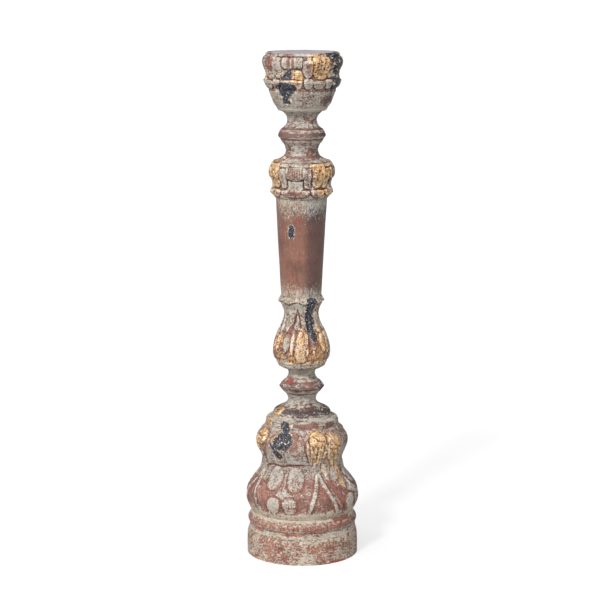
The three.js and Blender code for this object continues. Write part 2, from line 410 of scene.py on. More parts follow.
    def points(self):
        """The wall's points in metres, moved along the outline's normals by the relief."""
        normal = row_normals(self.rows)
        ends = self.fade(self.low, self.low + 2) * self.fade(self.high, self.high - 2)
        up = normal[:, 1:] * self.relief * ends
        if self.has_land:
            up = np.where(self.height > self.high - 0.01, self.relief * 0.4, up)
        place = round_the_stick(self.radius + normal[:, :1] * self.relief, self.angle, self.height + up)
        place[..., 0] += stick_lean(self.height)
        return place * MM


# ---- Meshes ----


class MeshBuilder:
    """Collects rings of points and the faces between them into one closed mesh."""

    def __init__(self):
        self.points = []
        self.total = 0
        self.faces = []

    def add(self, points):
        points = np.asarray(points, float).reshape(-1, 3)
        start = self.total
        self.points.append(points)
        self.total += len(points)
        return np.arange(start, self.total)

    def grid(self, points):
        """Adds a wall of rows that run anticlockwise seen from above. Returns its first and last ring."""
        rows, columns = points.shape[:2]
        index = self.add(points).reshape(rows, columns)
        right = np.roll(index, -1, 1)
        quads = np.stack([index[:-1], right[:-1], right[1:], index[1:]], -1)
        self.faces.extend(quads.reshape(-1, 4).tolist())
        return index[0], index[-1]

    def bridge(self, ring_a, ring_b):
        """Joins two rings of one bore. The faces look at the bore's axis when a is below b."""
        after_a, after_b = np.roll(ring_a, -1), np.roll(ring_b, -1)
        self.faces.extend(np.stack([ring_a, ring_b, after_b, after_a], -1).tolist())

    def face(self, corners, forward):
        """Adds a face, with its corners in this order or the other way round."""
        self.faces.append([int(i) for i in (corners if forward else corners[::-1])])

    def flat(self, outer, holes, upward):
        """A flat face between an outer ring and the rings of its holes."""
        everything = np.concatenate(self.points)
        loops = [[Vector((*everything[i][:2], 0)) for i in ring] for ring in [outer, *holes]]
        index = np.concatenate([outer, *holes])
        for triangle in geometry.tessellate_polygon(loops):
            corners = index[list(triangle)]
            a, b, c = everything[corners][:, :2]
            anticlockwise = (b[0] - a[0]) * (c[1] - a[1]) - (b[1] - a[1]) * (c[0] - a[0]) > 0
            self.face(corners, anticlockwise == upward)

    def bore_ring(self, place, radius, height):
        """A ring of a bore. It runs anticlockwise seen from above."""
        turn = np.arange(BORE_POINTS) * 2 * math.pi / BORE_POINTS
        x, y = place[0] + radius * np.cos(turn), place[1] + radius * np.sin(turn)
        return self.add(np.stack([x, y, np.full(BORE_POINTS, height)], -1) * MM)

    def finish(self, name, layers, material):
        mesh = bpy.data.meshes.new(name)
        mesh.from_pydata(np.concatenate(self.points).tolist(), [], self.faces)
        for layer, (values, rest) in layers.items():
            full = np.full(self.total, rest, np.float32)
            full[: values.size] = values.ravel()
            mesh.attributes.new(layer, "FLOAT", "POINT").data.foreach_set("value", full)
        mesh.materials.append(material)
        mesh.polygons.foreach_set("use_smooth", np.ones(len(mesh.polygons), bool))
        mesh.update()
        mesh.set_sharp_from_angle(angle=math.radians(50))
        piece = bpy.data.objects.new(name, mesh)
        bpy.context.scene.collection.objects.link(piece)
        return piece


# A round hole between two heights, which opens wherever it passes an end of a section.
# A screw's bore is wider below the seat of its head.
Bore = namedtuple("Bore", "place radius low high head_radius head_seat", defaults=(None, None))


def drill(mesh, bore, wall):
    """Adds a bore to a section's mesh. Returns the rings that open its foot and its head."""
    opens_low, opens_high = bore.low <= wall.low, bore.high >= wall.high
    steps = [(bore.radius, max(bore.low, wall.low)), (bore.radius, min(bore.high, wall.high))]
    if bore.head_radius and wall.low < bore.head_seat:
        shoulder = [(bore.head_radius, bore.head_seat), (bore.radius, bore.head_seat)]
        steps = [(bore.head_radius, wall.low), *shoulder, steps[1]]
    rings = [mesh.bore_ring(bore.place, radius, height) for radius, height in steps]
    for below, above in zip(rings, rings[1:]):
        mesh.bridge(below, above)
    if not opens_low:
        mesh.face(rings[0], forward=True)
    if not opens_high:
        mesh.face(rings[-1], forward=False)
    return rings[:1] if opens_low else [], rings[-1:] if opens_high else []


def build_section(wall, bores, material, rebate_floor=None):
    """Closes a wall into a solid with its end faces and its bores."""
    mesh = MeshBuilder()
    foot, head = mesh.grid(wall.points())
    if rebate_floor is not None:
        sunk = wall.points()[-1].copy()
        sunk[:, 2] = rebate_floor * MM
        head_below = mesh.add(sunk)
        mesh.bridge(head_below, head)
        head = head_below
    foot_holes, head_holes = [], []
    for bore in bores:
        if bore.low < wall.high and bore.high > wall.low:
            opened_low, opened_high = drill(mesh, bore, wall)
            foot_holes += opened_low
            head_holes += opened_high
    mesh.flat(foot, foot_holes, upward=False)
    mesh.flat(head, head_holes, upward=True)
    layers = {
        "wash": (wall.wash, -1),
        "stain": (wall.stain, 0.3),
        "warm": (wall.warm, 0),
        "hollow": (wall.hollows(), 0),
        **{kind: (values, NO_PAINT) for kind, values in wall.layers.items()},
    }
    return mesh.finish(wall.name + "_carved", layers, material)


# ---- Carving ----


def block(left, right, low, high):
    """The corners of a rectangle."""
    return [(left, low), (right, low), (right, high), (left, high)]


def oval(centre, half_width, half_height, squareness=2.0, count=14):
    """An oval outline in (degrees, height). A squareness above 2 fills its corners."""
    turn = np.arange(count) * 2 * math.pi / count
    c, s = np.cos(turn), np.sin(turn)
    power = 2 / squareness
    x = centre[0] + half_width * np.sign(c) * np.abs(c) ** power
    y = centre[1] + half_height * np.sign(s) * np.abs(s) ** power
    return np.stack([x, y], 1)


def moved(centre, points, widen=1):
    """Points drawn round 0 degrees, widened and moved to a centre."""
    return [(centre + widen * angle, height) for angle, height in points]


# The foot of each tab in the cup's lower row.
CUP_HEMS = (
    [(-36, 580), (-35, 571), (-31, 567.6), (-17, 567), (-4, 567.6), (1, 572), (1.6, 580)],
    [(2, 572), (5, 568), (9.5, 567), (14, 568), (16.8, 573)],
    [(16.8, 573), (20.5, 568), (27, 567), (33.5, 568), (37.6, 573)],
    [(38, 573), (41, 568), (45.5, 567), (50, 568), (53, 573)],
)


def carve_cup_lappet(wall):
    """The broad lappet under the rim, with its petals and the notches along its foot."""
    lappet = [
        (-32, 606), (-16, 606.5), (0, 606), (0.5, 599), (-2, 593.5), (-8, 591.4), (-15, 592.4),
        (-22, 591.2), (-28, 591.8), (-31.5, 595), (-32.5, 600),
    ]
    wall.lift(lappet, level=0.0, rise=2.0, edge=1.4)
    for centre, half, low in ((-26.6, 4.8, 592.5), (-10.8, 3.0, 593), (-4.0, 4.0, 592)):
        petal = [
            (-1, 606), (1, 606), (1, low + 3), (0.6, low + 0.6), (0, low), (-0.6, low + 0.6), (-1, low + 3),
        ]
        wall.lift(moved(centre, petal, half), level=0.7, rise=1.0, edge=1.1, rounded=False, wobble=0.4)
    wall.ridge([(-17.2, 603.5), (-16.8, 596)], width=2.8, level=0.5, rise=0.9, wobble=0.4)
    for start, stop in ((-32, -21.5), (-20.5, -15), (-14, -8), (-7.5, 0)):
        wall.groove([(start, 592.8), ((start + stop) / 2, 591.2), (stop, 592.8)], width=2.0, depth=1.1)
    wall.pits([(-31.5, 591)], radius=2.4, depth=1.8)
    wall.pits([(-1.6, 592)], radius=2.6, depth=1.6)


def carve_cup_tab(wall):
    """The wide tab below the lappet, with a ribbon across it."""
    tab = [
        (-35.5, 587), (-32, 589.8), (-17, 590), (-5, 589.8), (0, 587.5), (1.5, 582), (0, 572), (-3, 568.2),
        (-17, 567.6), (-32, 568.2), (-35, 572), (-35.5, 580),
    ]
    wall.lift(tab, level=0.3, rise=2.1, edge=2.4)
    wall.ridge([(-34, 577.0), (-17, 577.8), (-1, 577.0)], width=2.6, level=1.2, rise=1.3, wobble=0)
    wall.groove([(-34, 579.6), (-17, 580.4), (-1, 579.6)], width=1.8, depth=0.8)
    wall.groove([(-33, 574.8), (-17, 575.2), (-2, 574.8)], width=1.8, depth=0.8)


def carve_cup_tongues(wall):
    """The two plain tongues beside the lappet, each with an arc across its foot."""
    for centre, low, high in ((-42, 581.5, 606), (8.8, 581.5, 602)):
        tongue = [
            (-8.2, high - 3), (-6, high), (6, high), (8.2, high - 3), (8.6, low + 7), (5.5, low + 1.4),
            (-1, low), (-7, low + 3), (-8.4, low + 9),
        ]
        wall.lift(moved(centre, tongue), level=0.4, rise=1.6, edge=3)
        for step in (-3.4, 0.4, 4):
            wall.groove([(centre + step, low + 6), (centre + step, high - 4)], width=1.4, depth=0.3)
        arc = [(-7.6, low + 4), (-3, low - 0.8), (4, low - 0.4), (8, low + 4)]
        wall.groove(moved(centre, arc), width=2.2, depth=1.2)


def carve_cup_leaf(wall):
    """The domed leaf, with its veins and a scatter of pits."""
    leaf = [
        (15.5, 607), (30, 609), (46, 607), (48, 598), (46, 588), (40, 582), (31, 579.5), (21, 582),
        (16, 588), (15, 598),
    ]
    wall.lift(leaf, level=1.0, rise=2.8, edge=4)
    veins = ((20, 602, 25, 588), (27, 604, 29, 586), (35.5, 604, 33, 586), (42.5, 602, 37.5, 588))
    for top, high, foot, low in veins:
        wall.groove([(top, high), (foot, low)], width=2.0, depth=0.35)
    pits = [
        (17.5, 597), (23, 598.5), (29, 600), (34.5, 598.5), (40.5, 594), (33, 592), (25, 591), (45, 585),
        (38, 586), (29, 585), (20, 588),
    ]
    wall.pits(pits, radius=1.5, depth=1.4)


def carve_cup_lobes(wall):
    """The lower row: three lobes, and the outline of each one's foot."""
    for centre, half, high in ((9.5, 7.4, 581), (27, 10.6, 578.5), (45.5, 7.4, 580)):
        lobe = [
            (-1, high - 1), (0, high + 0.5), (1, high - 1), (1, 573), (0.6, 568.4), (0, 567.4),
            (-0.6, 568.4), (-1, 573),
        ]
        wall.lift(moved(centre, lobe, half), level=0.0, rise=1.4, edge=2.2)
    for hem in CUP_HEMS:
        wall.groove(hem, width=1.8, depth=0.7)
    for height in (576.2, 573.4):
        wall.groove([(18.5, height), (35.5, height)], width=1.4, depth=0.4)


def carve_cup(wall):
    wall.sink(567, 606.5, 2.2)
    for _ in wall.around(QUARTERS):
        carve_cup_lappet(wall)
        carve_cup_tab(wall)
        carve_cup_tongues(wall)
        carve_cup_leaf(wall)
        carve_cup_lobes(wall)


# The scallops round the foot of the capital.
CAPITAL_HEMS = (
    [(-42, 448), (-40, 443), (-32, 440.2), (-12, 439), (8, 440.2), (15, 443), (17, 448)],
    [(17, 448), (19, 443), (25, 440), (32.5, 439), (40, 440), (46, 443), (48, 448)],
)


def carve_capital_lappet(wall):
    """The ribbed lappet, with the tab that hangs below it."""
    lappet = [
        (-29.5, 476.5), (-12, 477), (6.5, 476.5), (7, 470), (5, 463.5), (-2, 460.6), (-12, 460),
        (-22, 460.6), (-29, 463.5), (-30.5, 470),
    ]
    wall.lift(lappet, level=0.5, rise=2.5, edge=2.2)
    for angle in (-25, -20.5, -16.5, -12.4, -8, -3.6, 1.5):
        wall.groove([(angle * 0.9 - 1.2, 475), (angle, 462.2)], width=2.0, depth=0.75)
    for centre in (-26, -19, -12, -5, 2):
        wall.groove(moved(centre, [(-3.4, 462.4), (0, 460.6), (3.4, 462.4)]), width=1.6, depth=0.6)
    tab = [
        (-27.5, 458.5), (-26, 460), (1, 460), (2.8, 458.5), (2.8, 448), (1.5, 446.2), (-26, 446.2),
        (-27.5, 448),
    ]
    wall.lift(tab, level=0.4, rise=2.3, edge=1.6)
    wall.groove([(-29, 460.2), (-20, 459.4), (-5, 459.4), (4, 460.2)], width=2.2, depth=1.5)
    for angle in (-21, -15, -9, -3):
        wall.groove([(angle, 457), (angle, 447.5)], width=1.4, depth=0.22)


def carve_capital_leaf(wall):
    """The domed leaf, and the tongues that stand between it and the lappets."""
    for centre, high in ((-37.5, 475.5), (11.5, 475)):
        tongue = oval((centre, (high + 451) / 2), 7.4, (high - 451) / 2, squareness=4)
        wall.lift(tongue, level=0.4, rise=2.4, edge=1.8)
        wall.groove([(centre - 2, 471), (centre - 1, 455)], width=1.2, depth=0.3)
    leaf = [
        (19.5, 480), (32.5, 481.5), (45.5, 480), (46.5, 470), (45, 458), (39, 452.3), (32.5, 451),
        (26, 452.3), (20, 458), (18.5, 470),
    ]
    wall.lift(leaf, level=1.0, rise=3.0, edge=3)
    for top, high, foot, low in (
        (22.5, 476, 27.5, 456),
        (27.5, 477, 30, 455),
        (32.5, 474, 32.5, 459),
        (37.5, 477, 35, 455),
        (42.5, 476, 38, 456),
    ):
        wall.groove([(top, high), (foot, low)], width=1.5, depth=0.35)
    wall.pits([(26, 470), (38.5, 468), (29, 462), (42, 461), (33, 472), (23, 463)], radius=1.4, depth=1.1)


def carve_capital_scallops(wall):
    """The wide and the narrow scallop at the foot."""
    wide = [
        (-42, 449), (-40, 443.5), (-32, 440.4), (-12, 439), (8, 440.4), (15, 443.5), (17, 449),
        (-12, 450.5),
    ]
    wall.lift(wide, level=0.2, rise=2.2, edge=2.4)
    narrow = [
        (-15, 449), (-13.5, 443.5), (-7.5, 440), (0, 439), (7.5, 440), (13.5, 443.5), (15, 449), (0, 450.5),
    ]
    wall.lift(moved(32.5, narrow), level=0.4, rise=2.4, edge=2.4)
    wall.groove([(-26, 445.6), (-12, 445), (1, 445.6)], width=2.0, depth=0.8)
    for hem in CAPITAL_HEMS:
        wall.groove(hem, width=2.2, depth=0.9)


def carve_capital(wall):
    wall.sink(442, 476, 2.5)
    for _ in wall.around(QUARTERS):
        carve_capital_lappet(wall)
        carve_capital_leaf(wall)
        carve_capital_scallops(wall)


BELL_SIDES = (0, 192)  # the front cloth and knuckles, and the same again at the back
# The edge of each fan of ribs at the bell's foot, and the two grooves between them.
BELL_RIBS = (
    [(20.5, 106), (17.5, 96), (13, 84), (8.5, 70), (7, 63)],
    [(22.5, 106), (26.5, 97), (31, 86), (35, 74), (40, 61)],
)
BELL_GAPS = ([(25, 93), (29, 82), (33, 72), (37, 62)], [(36.5, 88), (41, 78), (45.5, 70), (51, 62)])


def carve_bell_cloth(wall):
    """The hanging cloth, with its two folds and its hem."""
    swag = [
        (-47, 143), (-40, 155), (-22, 158.5), (-4, 157), (2, 150), (3.5, 138), (7, 126), (8, 119),
        (0, 119.6), (-10, 119.2), (-20, 118.2), (-30, 116.8), (-42, 118), (-57, 116), (-55, 128),
    ]
    wall.lift(swag, level=0.9, rise=2.8, edge=6)
    wall.groove([(-18, 141), (-24, 131), (-23, 120)], width=6, depth=0.9)
    wall.groove([(-44, 140), (-50, 130), (-54, 119)], width=5, depth=0.6)
    hem = [(-58, 115), (-47, 116.6), (-38, 117.6), (-30, 115.8), (-20, 117.2), (-10, 118.3), (2, 118.6)]
    wall.groove(hem, width=2.4, depth=1.1)


def carve_bell_knuckles(wall):
    """The knuckle and the fold beside it, and the boss at the side."""
    knuckle = [(9, 150), (12, 158), (21, 160.5), (30, 158), (32.5, 151), (30, 144), (20, 142), (11, 143)]
    wall.lift(knuckle, level=1.7, rise=3.4, edge=7)
    fold = [(33, 150), (36, 156), (44, 159), (51, 155), (54, 147), (50, 139), (42, 137), (35, 141)]
    wall.lift(fold, level=1.7, rise=3.2, edge=6)
    wall.groove([(38, 156), (41, 148), (48, 140)], width=3.0, depth=1.0)
    wall.groove([(14, 155), (20, 150), (29, 148)], width=2.6, depth=0.8)
    side_boss = [
        (-78, 150), (-74, 158), (-64, 160), (-54, 156), (-51, 149), (-56, 142), (-66, 140), (-75, 142),
    ]
    wall.lift(side_boss, level=1.8, rise=3.6, edge=6)
    wall.groove([(-72, 152), (-62, 150), (-55, 152)], width=3.0, depth=1.0)


def carve_bell_fingers(wall):
    """The thin fingers that hang below the knuckle, with pits between them."""
    for finger, width in (
        ([(6.5, 147), (7.5, 136), (10, 125)], 3.6),
        ([(11.5, 145), (12.8, 134), (12.5, 121)], 3.4),
        ([(17, 144), (16.2, 131), (17.5, 117)], 4.0),
        ([(22, 145), (21.8, 133), (20.2, 122)], 3.0),
        ([(26, 144), (25.2, 132), (23.5, 118)], 3.8),
        ([(31, 144), (29.5, 132), (27, 123)], 3.4),
    ):
        wall.ridge(finger, width, level=0.2, rise=0.5)
    pits = [
        (13, 139), (16.5, 133), (22, 137), (27, 131), (14.5, 127), (19.5, 141), (24.5, 125), (30, 137),
        (19, 124),
    ]
    wall.pits(pits, radius=2.2, depth=0.9)


def carve_bell_ribbon(wall):
    """The ribbon that falls from the fold, and the strap below the side boss."""
    ribbon = [
        (31, 142), (40, 139), (52, 140), (58, 133), (61, 120), (62, 104), (58, 90), (52, 88.5), (48, 98),
        (47, 110), (42, 120), (35, 128),
    ]
    wall.lift(ribbon, level=0.8, rise=2.2, edge=4)
    wall.groove([(39, 138), (46, 127), (51, 112), (52, 94)], width=2.6, depth=0.9)
    wall.groove([(46, 139), (54, 126), (58, 112)], width=2.0, depth=0.7)
    wall.groove([(66, 96), (70, 92), (75, 87)], width=2.0, depth=1.0)
    wall.ridge([(-73, 140), (-66, 130), (-60, 118)], width=9, level=0.4, rise=1.6)


def carve_bell_foot(wall):
    """The two rows of pods with the star between them, and the fans of ribs."""
    for centre, half_height in (((-37.5, 103), 13.5), ((-8.5, 103.5), 14)):
        wall.lift(oval(centre, 11.5, half_height, squareness=2.2), level=0.4, rise=1.9, edge=6)
    for step in (-4, 0, 3.6):
        wall.groove([(-8.5 + step, 110), (-8 + step, 96)], width=1.8, depth=0.35)
    star = [
        (-22, 99.5), (-24, 91), (-31, 85), (-25, 82.8), (-20.5, 79.5), (-16, 82.8), (-10, 85.3), (-18, 91),
    ]
    wall.lift(star, level=0.1, rise=1.5, edge=3, rounded=False)
    for centre in ((-31.5, 72), (-13.5, 72.5)):
        wall.lift(oval(centre, 8, 11.5, squareness=2.2), level=0.4, rise=1.8, edge=5)
    wall.groove([(-14, 79), (-14, 71)], width=2.0, depth=0.7)
    wall.groove([(-22.5, 79), (-22.5, 65)], width=2.6, depth=0.6)
    for rib, width in zip((*BELL_RIBS, [(34, 90), (39, 80), (44, 70), (49, 62)]), (5.4, 7.0, 5.0)):
        wall.ridge(rib, width, level=0.25, rise=1.5, wobble=0.5)
    for gap, depth in zip(BELL_GAPS, (0.7, 0.8)):
        wall.groove(gap, 1.8, depth)


def carve_bell(wall):
    wall.sink(117, 157, 1.5, soft=6)
    wall.sink(64, 116, 1.6, soft=8)
    for _ in wall.around(BELL_SIDES):
        carve_bell_cloth(wall)
        carve_bell_knuckles(wall)
        carve_bell_fingers(wall)
        carve_bell_ribbon(wall)
    for _ in wall.around(QUARTERS):
        carve_bell_foot(wall)


# The long grooves between the leaves of the baluster.
BALUSTER_VEES = (
    [(-11.5, 304), (-18, 293), (-24, 284)],
    [(-11.5, 304), (-6, 295), (-1, 284)],
    [(-49, 269), (-38, 277), (-25, 286)],
    [(19, 306), (19, 290), (18, 270), (17, 256)],
    [(-50, 292), (-52, 278), (-48, 262)],
)


def carve_baluster_leaves(wall):
    """A quarter's overlapping leaves, with their veins."""
    tall = [
        (-50, 292), (-45, 300.5), (-36, 303.5), (-27, 300.5), (-21, 292), (-22, 285), (-28, 280),
        (-38, 276), (-48, 281),
    ]
    wall.lift(tall, level=0.8, rise=2.4, edge=4)
    lilac = [(-43, 271), (-35, 276), (-27, 274), (-25, 266), (-28, 257), (-36, 253), (-43, 260)]
    wall.lift(lilac, level=0.6, rise=2.2, edge=4)
    peak = [(-12, 303), (-8, 297), (-4, 287), (-2, 281), (-8, 277), (-13, 279), (-23, 284), (-19, 291)]
    wall.lift(peak, level=0.4, rise=2.0, edge=3)
    drop = [
        (-3, 282), (8, 281), (17, 275), (18, 262), (15, 250), (7, 241), (-5, 240), (-13, 247), (-15, 258),
        (-11, 272),
    ]
    wall.lift(drop, level=0.7, rise=2.3, edge=5)
    small = [(-25, 270), (-20, 277), (-15, 273), (-16, 260), (-20, 250), (-26, 257)]
    wall.lift(small, level=0.6, rise=2.0, edge=3)
    wall.groove([(6, 279), (7, 268), (3, 256), (0, 246)], width=1.5, depth=0.3)
    wall.groove([(-7, 273), (-6, 262), (-4, 252)], width=1.5, depth=0.3)
    wall.groove([(12, 274), (12, 260), (9, 250)], width=1.5, depth=0.3)
    right = [(24, 302), (31, 290), (34, 276), (33, 262), (28, 248), (22, 258), (20, 276), (21, 292)]
    wall.lift(right, level=0.4, rise=1.8, edge=4)


def carve_baluster(wall):
    wall.sink(240, 298, 1.6, soft=6)
    for _ in wall.around(QUARTERS):
        carve_baluster_leaves(wall)
        for path in BALUSTER_VEES:
            wall.groove(path, width=2.4, depth=1.1)
        for angle in (-22, 5):
            wall.groove([(angle, 309), (angle + 1, 299)], width=2.4, depth=0.6)
    above_hem = wall.height - 311.6 - 1.7 * np.cos(np.radians(8 * (wall.angle + 14)))
    wall.relief += 0.9 * smooth(above_hem, 0, 1.6) * wall.fade(320, 317)
    wall.relief -= 1.2 * bell_curve(above_hem, -1.0, 1.1)


# Fine rings left by the turner, as (height, width, depth). Below 0 the ring stands proud.
TURNED_RINGS = {
    "plinth": [(30.6, 1.6, 0.7)],
    "base_ring": [(38.4, 2.4, 0.8), (49.8, 1.6, 0.4)],
    "cap_disc": [(167.6, 1.4, 0.5)],
    "lower_knop": [(199.4, 1.6, 0.7), (215.2, 1.4, 0.5), (173.9, 1.6, 0.6)],
    "baluster": [(236.6, 2.0, 0.5)],
    "capital": [(481, 1.4, 0.6), (478.4, 2.4, -0.4)],
    "upper_knop": [(507.6, 1.4, 0.6), (520.6, 1.4, 0.5), (487.4, 1.4, 0.4)],
    "cup": [(565.8, 1.8, 0.9), (606.2, 1.2, 0.5), (543.4, 1.6, -0.4)],
}


def turn_rings(wall):
    for height, width, depth in TURNED_RINGS.get(wall.name, ()):
        wall.relief -= depth * wall.near(height, width / 2)


# ---- Paint ----


def paint_plinth(wall):
    wall.prime(0.50, 0.15, 20, 60)
    wall.wash_rings((33, 3.0, 0.22))
    wall.warm += 0.35
    wall.stain += 0.3 * wall.fade(31, 30) * wall.fade(28.5, 29.5)
    for _ in wall.around((0, 150, 235)):
        for outline, amount in (
            (block(-2, 14, 2, 13), 0.2),
            (block(-48, -30, 18, 30), -0.2),
            (block(-38, -20, 5, 18), -0.15),
            (block(30, 60, 14, 24), -0.12),
            ([(8, 18), (34, 22), (34, 26), (8, 23)], -0.2),
            ([(0, 28), (30, 27), (50, 30), (50, 32), (24, 30), (0, 31)], 0.25),
            ([(14, 4), (30, 4), (34, 18), (8, 18)], -0.1),
            ([(36, 4), (70, 4), (70, 24), (44, 24)], 0.12),
        ):
            wall.wash_in(outline, amount, soft=5)
    for _ in wall.around((0, 200)):
        wall.red([(24, -2), (50, -2), (48, 2), (38, 3.5), (27, 2)])
        wall.red([(-58, 2), (-52, 4), (-51, 6), (-57, 6)])
        wall.cream(block(26, 30, 1, 4))


def paint_base_ring(wall):
    wall.prime(0.48, 0.35, 20, 60)
    wall.wash_rings((53.8, 3.0, 0.5), (36.5, 2.2, 0.3), (44.5, 3, -0.2), (40.5, 1.2, 0.2))
    wall.warm += 0.6 * wall.fade(48, 51)
    wall.wash_in([(4, 44), (40, 46), (60, 46), (60, 42), (30, 41), (4, 41)], -0.35, soft=3)
    for _ in wall.around((0, 140)):
        mark = [(38, 51), (60, 51), (61, 57), (37, 57)]
        wall.red(mark, 0.1)
        wall.wash_in(mark, -0.9, soft=1.5)
        wall.gold([(42, 52), (58, 52), (56, 56), (43, 56)], -0.7)
        wall.red([(-20, 34.5), (-10, 35.4), (0, 34.5), (0, 37), (-10, 37.6), (-20, 37)])
        wall.gold(block(-20, -16, 38, 40))
        wall.gold(block(-8, -4, 38, 40))
        wall.red(block(-62, -48, 35, 38))
        wall.cream([(-45, 54), (0, 54.6), (36, 54), (36, 56), (0, 56.4), (-45, 56)])


def paint_bell_foot(wall):
    for outline, amount in (
        ([(1, 100), (12, 108), (18, 100), (12, 88), (7, 72), (2, 68), (-2, 80), (-2, 92)], -0.14),
        ([(20, 100), (26, 92), (30, 80), (35, 66), (26, 64), (12, 66), (15, 84)], -0.22),
        ([(30, 98), (46, 98), (52, 88), (50, 80), (40, 80), (33, 88)], -0.26),
        ([(-47, 80), (-39, 80), (-39, 64), (-45, 62)], -0.35),
        ([(-6, 80), (-2, 80), (-2, 64), (-8, 64)], -0.30),
        (oval((-21, 87.5), 7.5, 7), 0.2),
        (oval((58, 72), 7, 10), 0.2),
    ):
        wall.wash_in(outline, amount, soft=3.5)
    for pod, size, rim_size, amount in (
        ((-37.5, 103), (10.5, 12.5), (11.5, 13.5), 0.18),
        ((-8.5, 103), (10, 12.5), (11.5, 14), 0.10),
        ((-31.5, 72), (7.5, 10.5), (8.3, 11.5), 0.20),
        ((-13.5, 73), (7.5, 10.5), (8.3, 11.5), 0.20),
    ):
        wall.wash_in(oval(pod, *size), amount, soft=3.5)
        wall.wash_along(oval(pod, *rim_size), -0.3, width=4, closed=True)
    for rib in BELL_RIBS:
        wall.wash_along(rib, 0.26, width=5.5)
    for gap in BELL_GAPS:
        wall.wash_along(gap, -0.6, width=3)


def paint_bell_top(wall):
    hem = [(-58, 115), (-47, 116.6), (-38, 117.6), (-30, 115.8), (-20, 117.2), (2, 118.6)]
    # Less limewash along the hem: painted shadow under the cloth's edge, repeated at the back.
    wall.wash_along(hem, -0.4, width=3)
    wall.wash_in([(-14, 153), (0, 153), (5, 143), (1, 135), (-8, 138)], -0.35, soft=4)
    wall.wash_in([(-58, 138), (-48, 142), (-53, 130), (-56, 118), (-62, 118), (-62, 130)], -0.4)
    wall.wash_in([(-14, 158), (-2, 158), (-4, 150), (-10, 140), (-16, 140)], -0.25, soft=4)
    wall.wash_in([(-48, 142), (-44, 156), (-38, 156), (-40, 142)], -0.4)
    # Less limewash towards the bell's right side: painted shade, repeated at the back.
    wall.wash_in([(60, 160), (88, 160), (88, 136), (64, 138)], -0.2, soft=5)
    wall.gold([(8, 148), (11, 158), (21, 161), (31, 158), (33, 150), (31, 143), (20, 141)])
    fingers = [(7, 146), (20, 146), (33, 146), (31, 136), (27, 125), (20, 120), (12, 123), (6, 137)]
    wall.gold(fingers, 0.0)
    wall.cream(fingers, 0.5)
    fold = [(35, 154), (44, 158), (54, 153), (57, 142), (52, 134), (44, 126), (36, 132), (36, 146)]
    wall.gold(fold, 0.35)
    wall.cream(fold, -0.5)
    wall.gold([(30, 130), (44, 132), (56, 128), (58, 114), (44, 112), (34, 118)], -0.5)
    wall.gold([(48, 120), (56, 119), (59, 110), (58, 98), (54, 91), (51, 96), (52, 108)], 0.8)
    wall.cream([(34, 142), (36, 155), (42, 157), (43, 148), (40, 139)])
    wall.cream([(33, 140), (36, 148), (38, 146), (37, 136), (35, 128)])
    wall.cream([(28, 117), (34, 118), (37, 108), (33, 105), (29, 110)])
    wall.cream([(10, 129), (18, 127), (24, 127), (22, 123), (13, 124)])
    wall.gold([
        (-78, 156), (-70, 159), (-58, 157), (-51, 152), (-52, 146), (-60, 140), (-68, 132), (-76, 138),
    ], 0.7)


def paint_bell(wall):
    wall.prime(0.62, 0.45, 50, 75)
    wall.wash -= 0.21 * wall.fade(106, 96)
    wall.wash_rings((59, 5, 0.4))
    wall.warm += 0.6 * wall.fade(72, 58) - 0.35 * wall.fade(66, 84)
    for _ in wall.around(QUARTERS):
        paint_bell_foot(wall)
    for _ in wall.around(BELL_SIDES):
        paint_bell_top(wall)
    for _ in wall.around((0, 205)):
        wall.cream([(-31, 150), (-22, 150), (-20, 144), (-27, 141), (-32, 143)], -0.6)
        bottle = [
            (-33, 164), (-19, 164), (-20, 159), (-13, 154), (-12, 147), (-18, 140), (-27, 138.5),
            (-36, 141), (-38, 149), (-34, 156), (-30, 159),
        ]
        wall.black(bottle)
        wall.black([(-44, 146.5), (-39, 144.5), (-34, 139), (-27, 135), (-26, 129), (-31, 127), (-37, 134)])
        wall.cream([(-40, 133), (-35, 127), (-30, 125), (-31, 123), (-37, 125)])
        wall.gold(oval((-41, 151.5), 3, 4.5), 0.2)
        for chip in ((-20, 145), (-24, 143), (-28, 145), (-17, 148), (-15, 158), (-35, 155)):
            wall.cream(oval(chip, 1.0, 2.0), 0.0)
    wall.black(oval((128, 131), 8, 9))


def paint_cap_disc(wall):
    wall.prime(0.56, 0.4, 30, 60)
    wall.wash_rings((169.6, 1.4, 0.2))
    for _ in wall.around((0, 205)):
        wall.wash_in([(-18, 168), (20, 168), (14, 164.5), (2, 162.5), (-10, 165)], -0.7, soft=1.5)
        wall.wash_in(oval((51, 164.5), 9, 2.6), -0.9, soft=1.5)
        wall.wash_in(oval((17, 166), 15, 5), -0.2, soft=3)
        wall.gold([(-82, 170), (-68, 170), (-56, 166), (-64, 161), (-82, 162)], -0.1)
        wall.black([(-35, 170), (-30, 171), (-22, 169), (-20, 164), (-20, 159), (-36, 159), (-36, 165)])
        wall.cream([(-39, 161), (-36, 161), (-35, 166), (-37, 167)])
        wall.cream([(-19, 167), (-15, 168), (-16, 162), (-19, 163)])


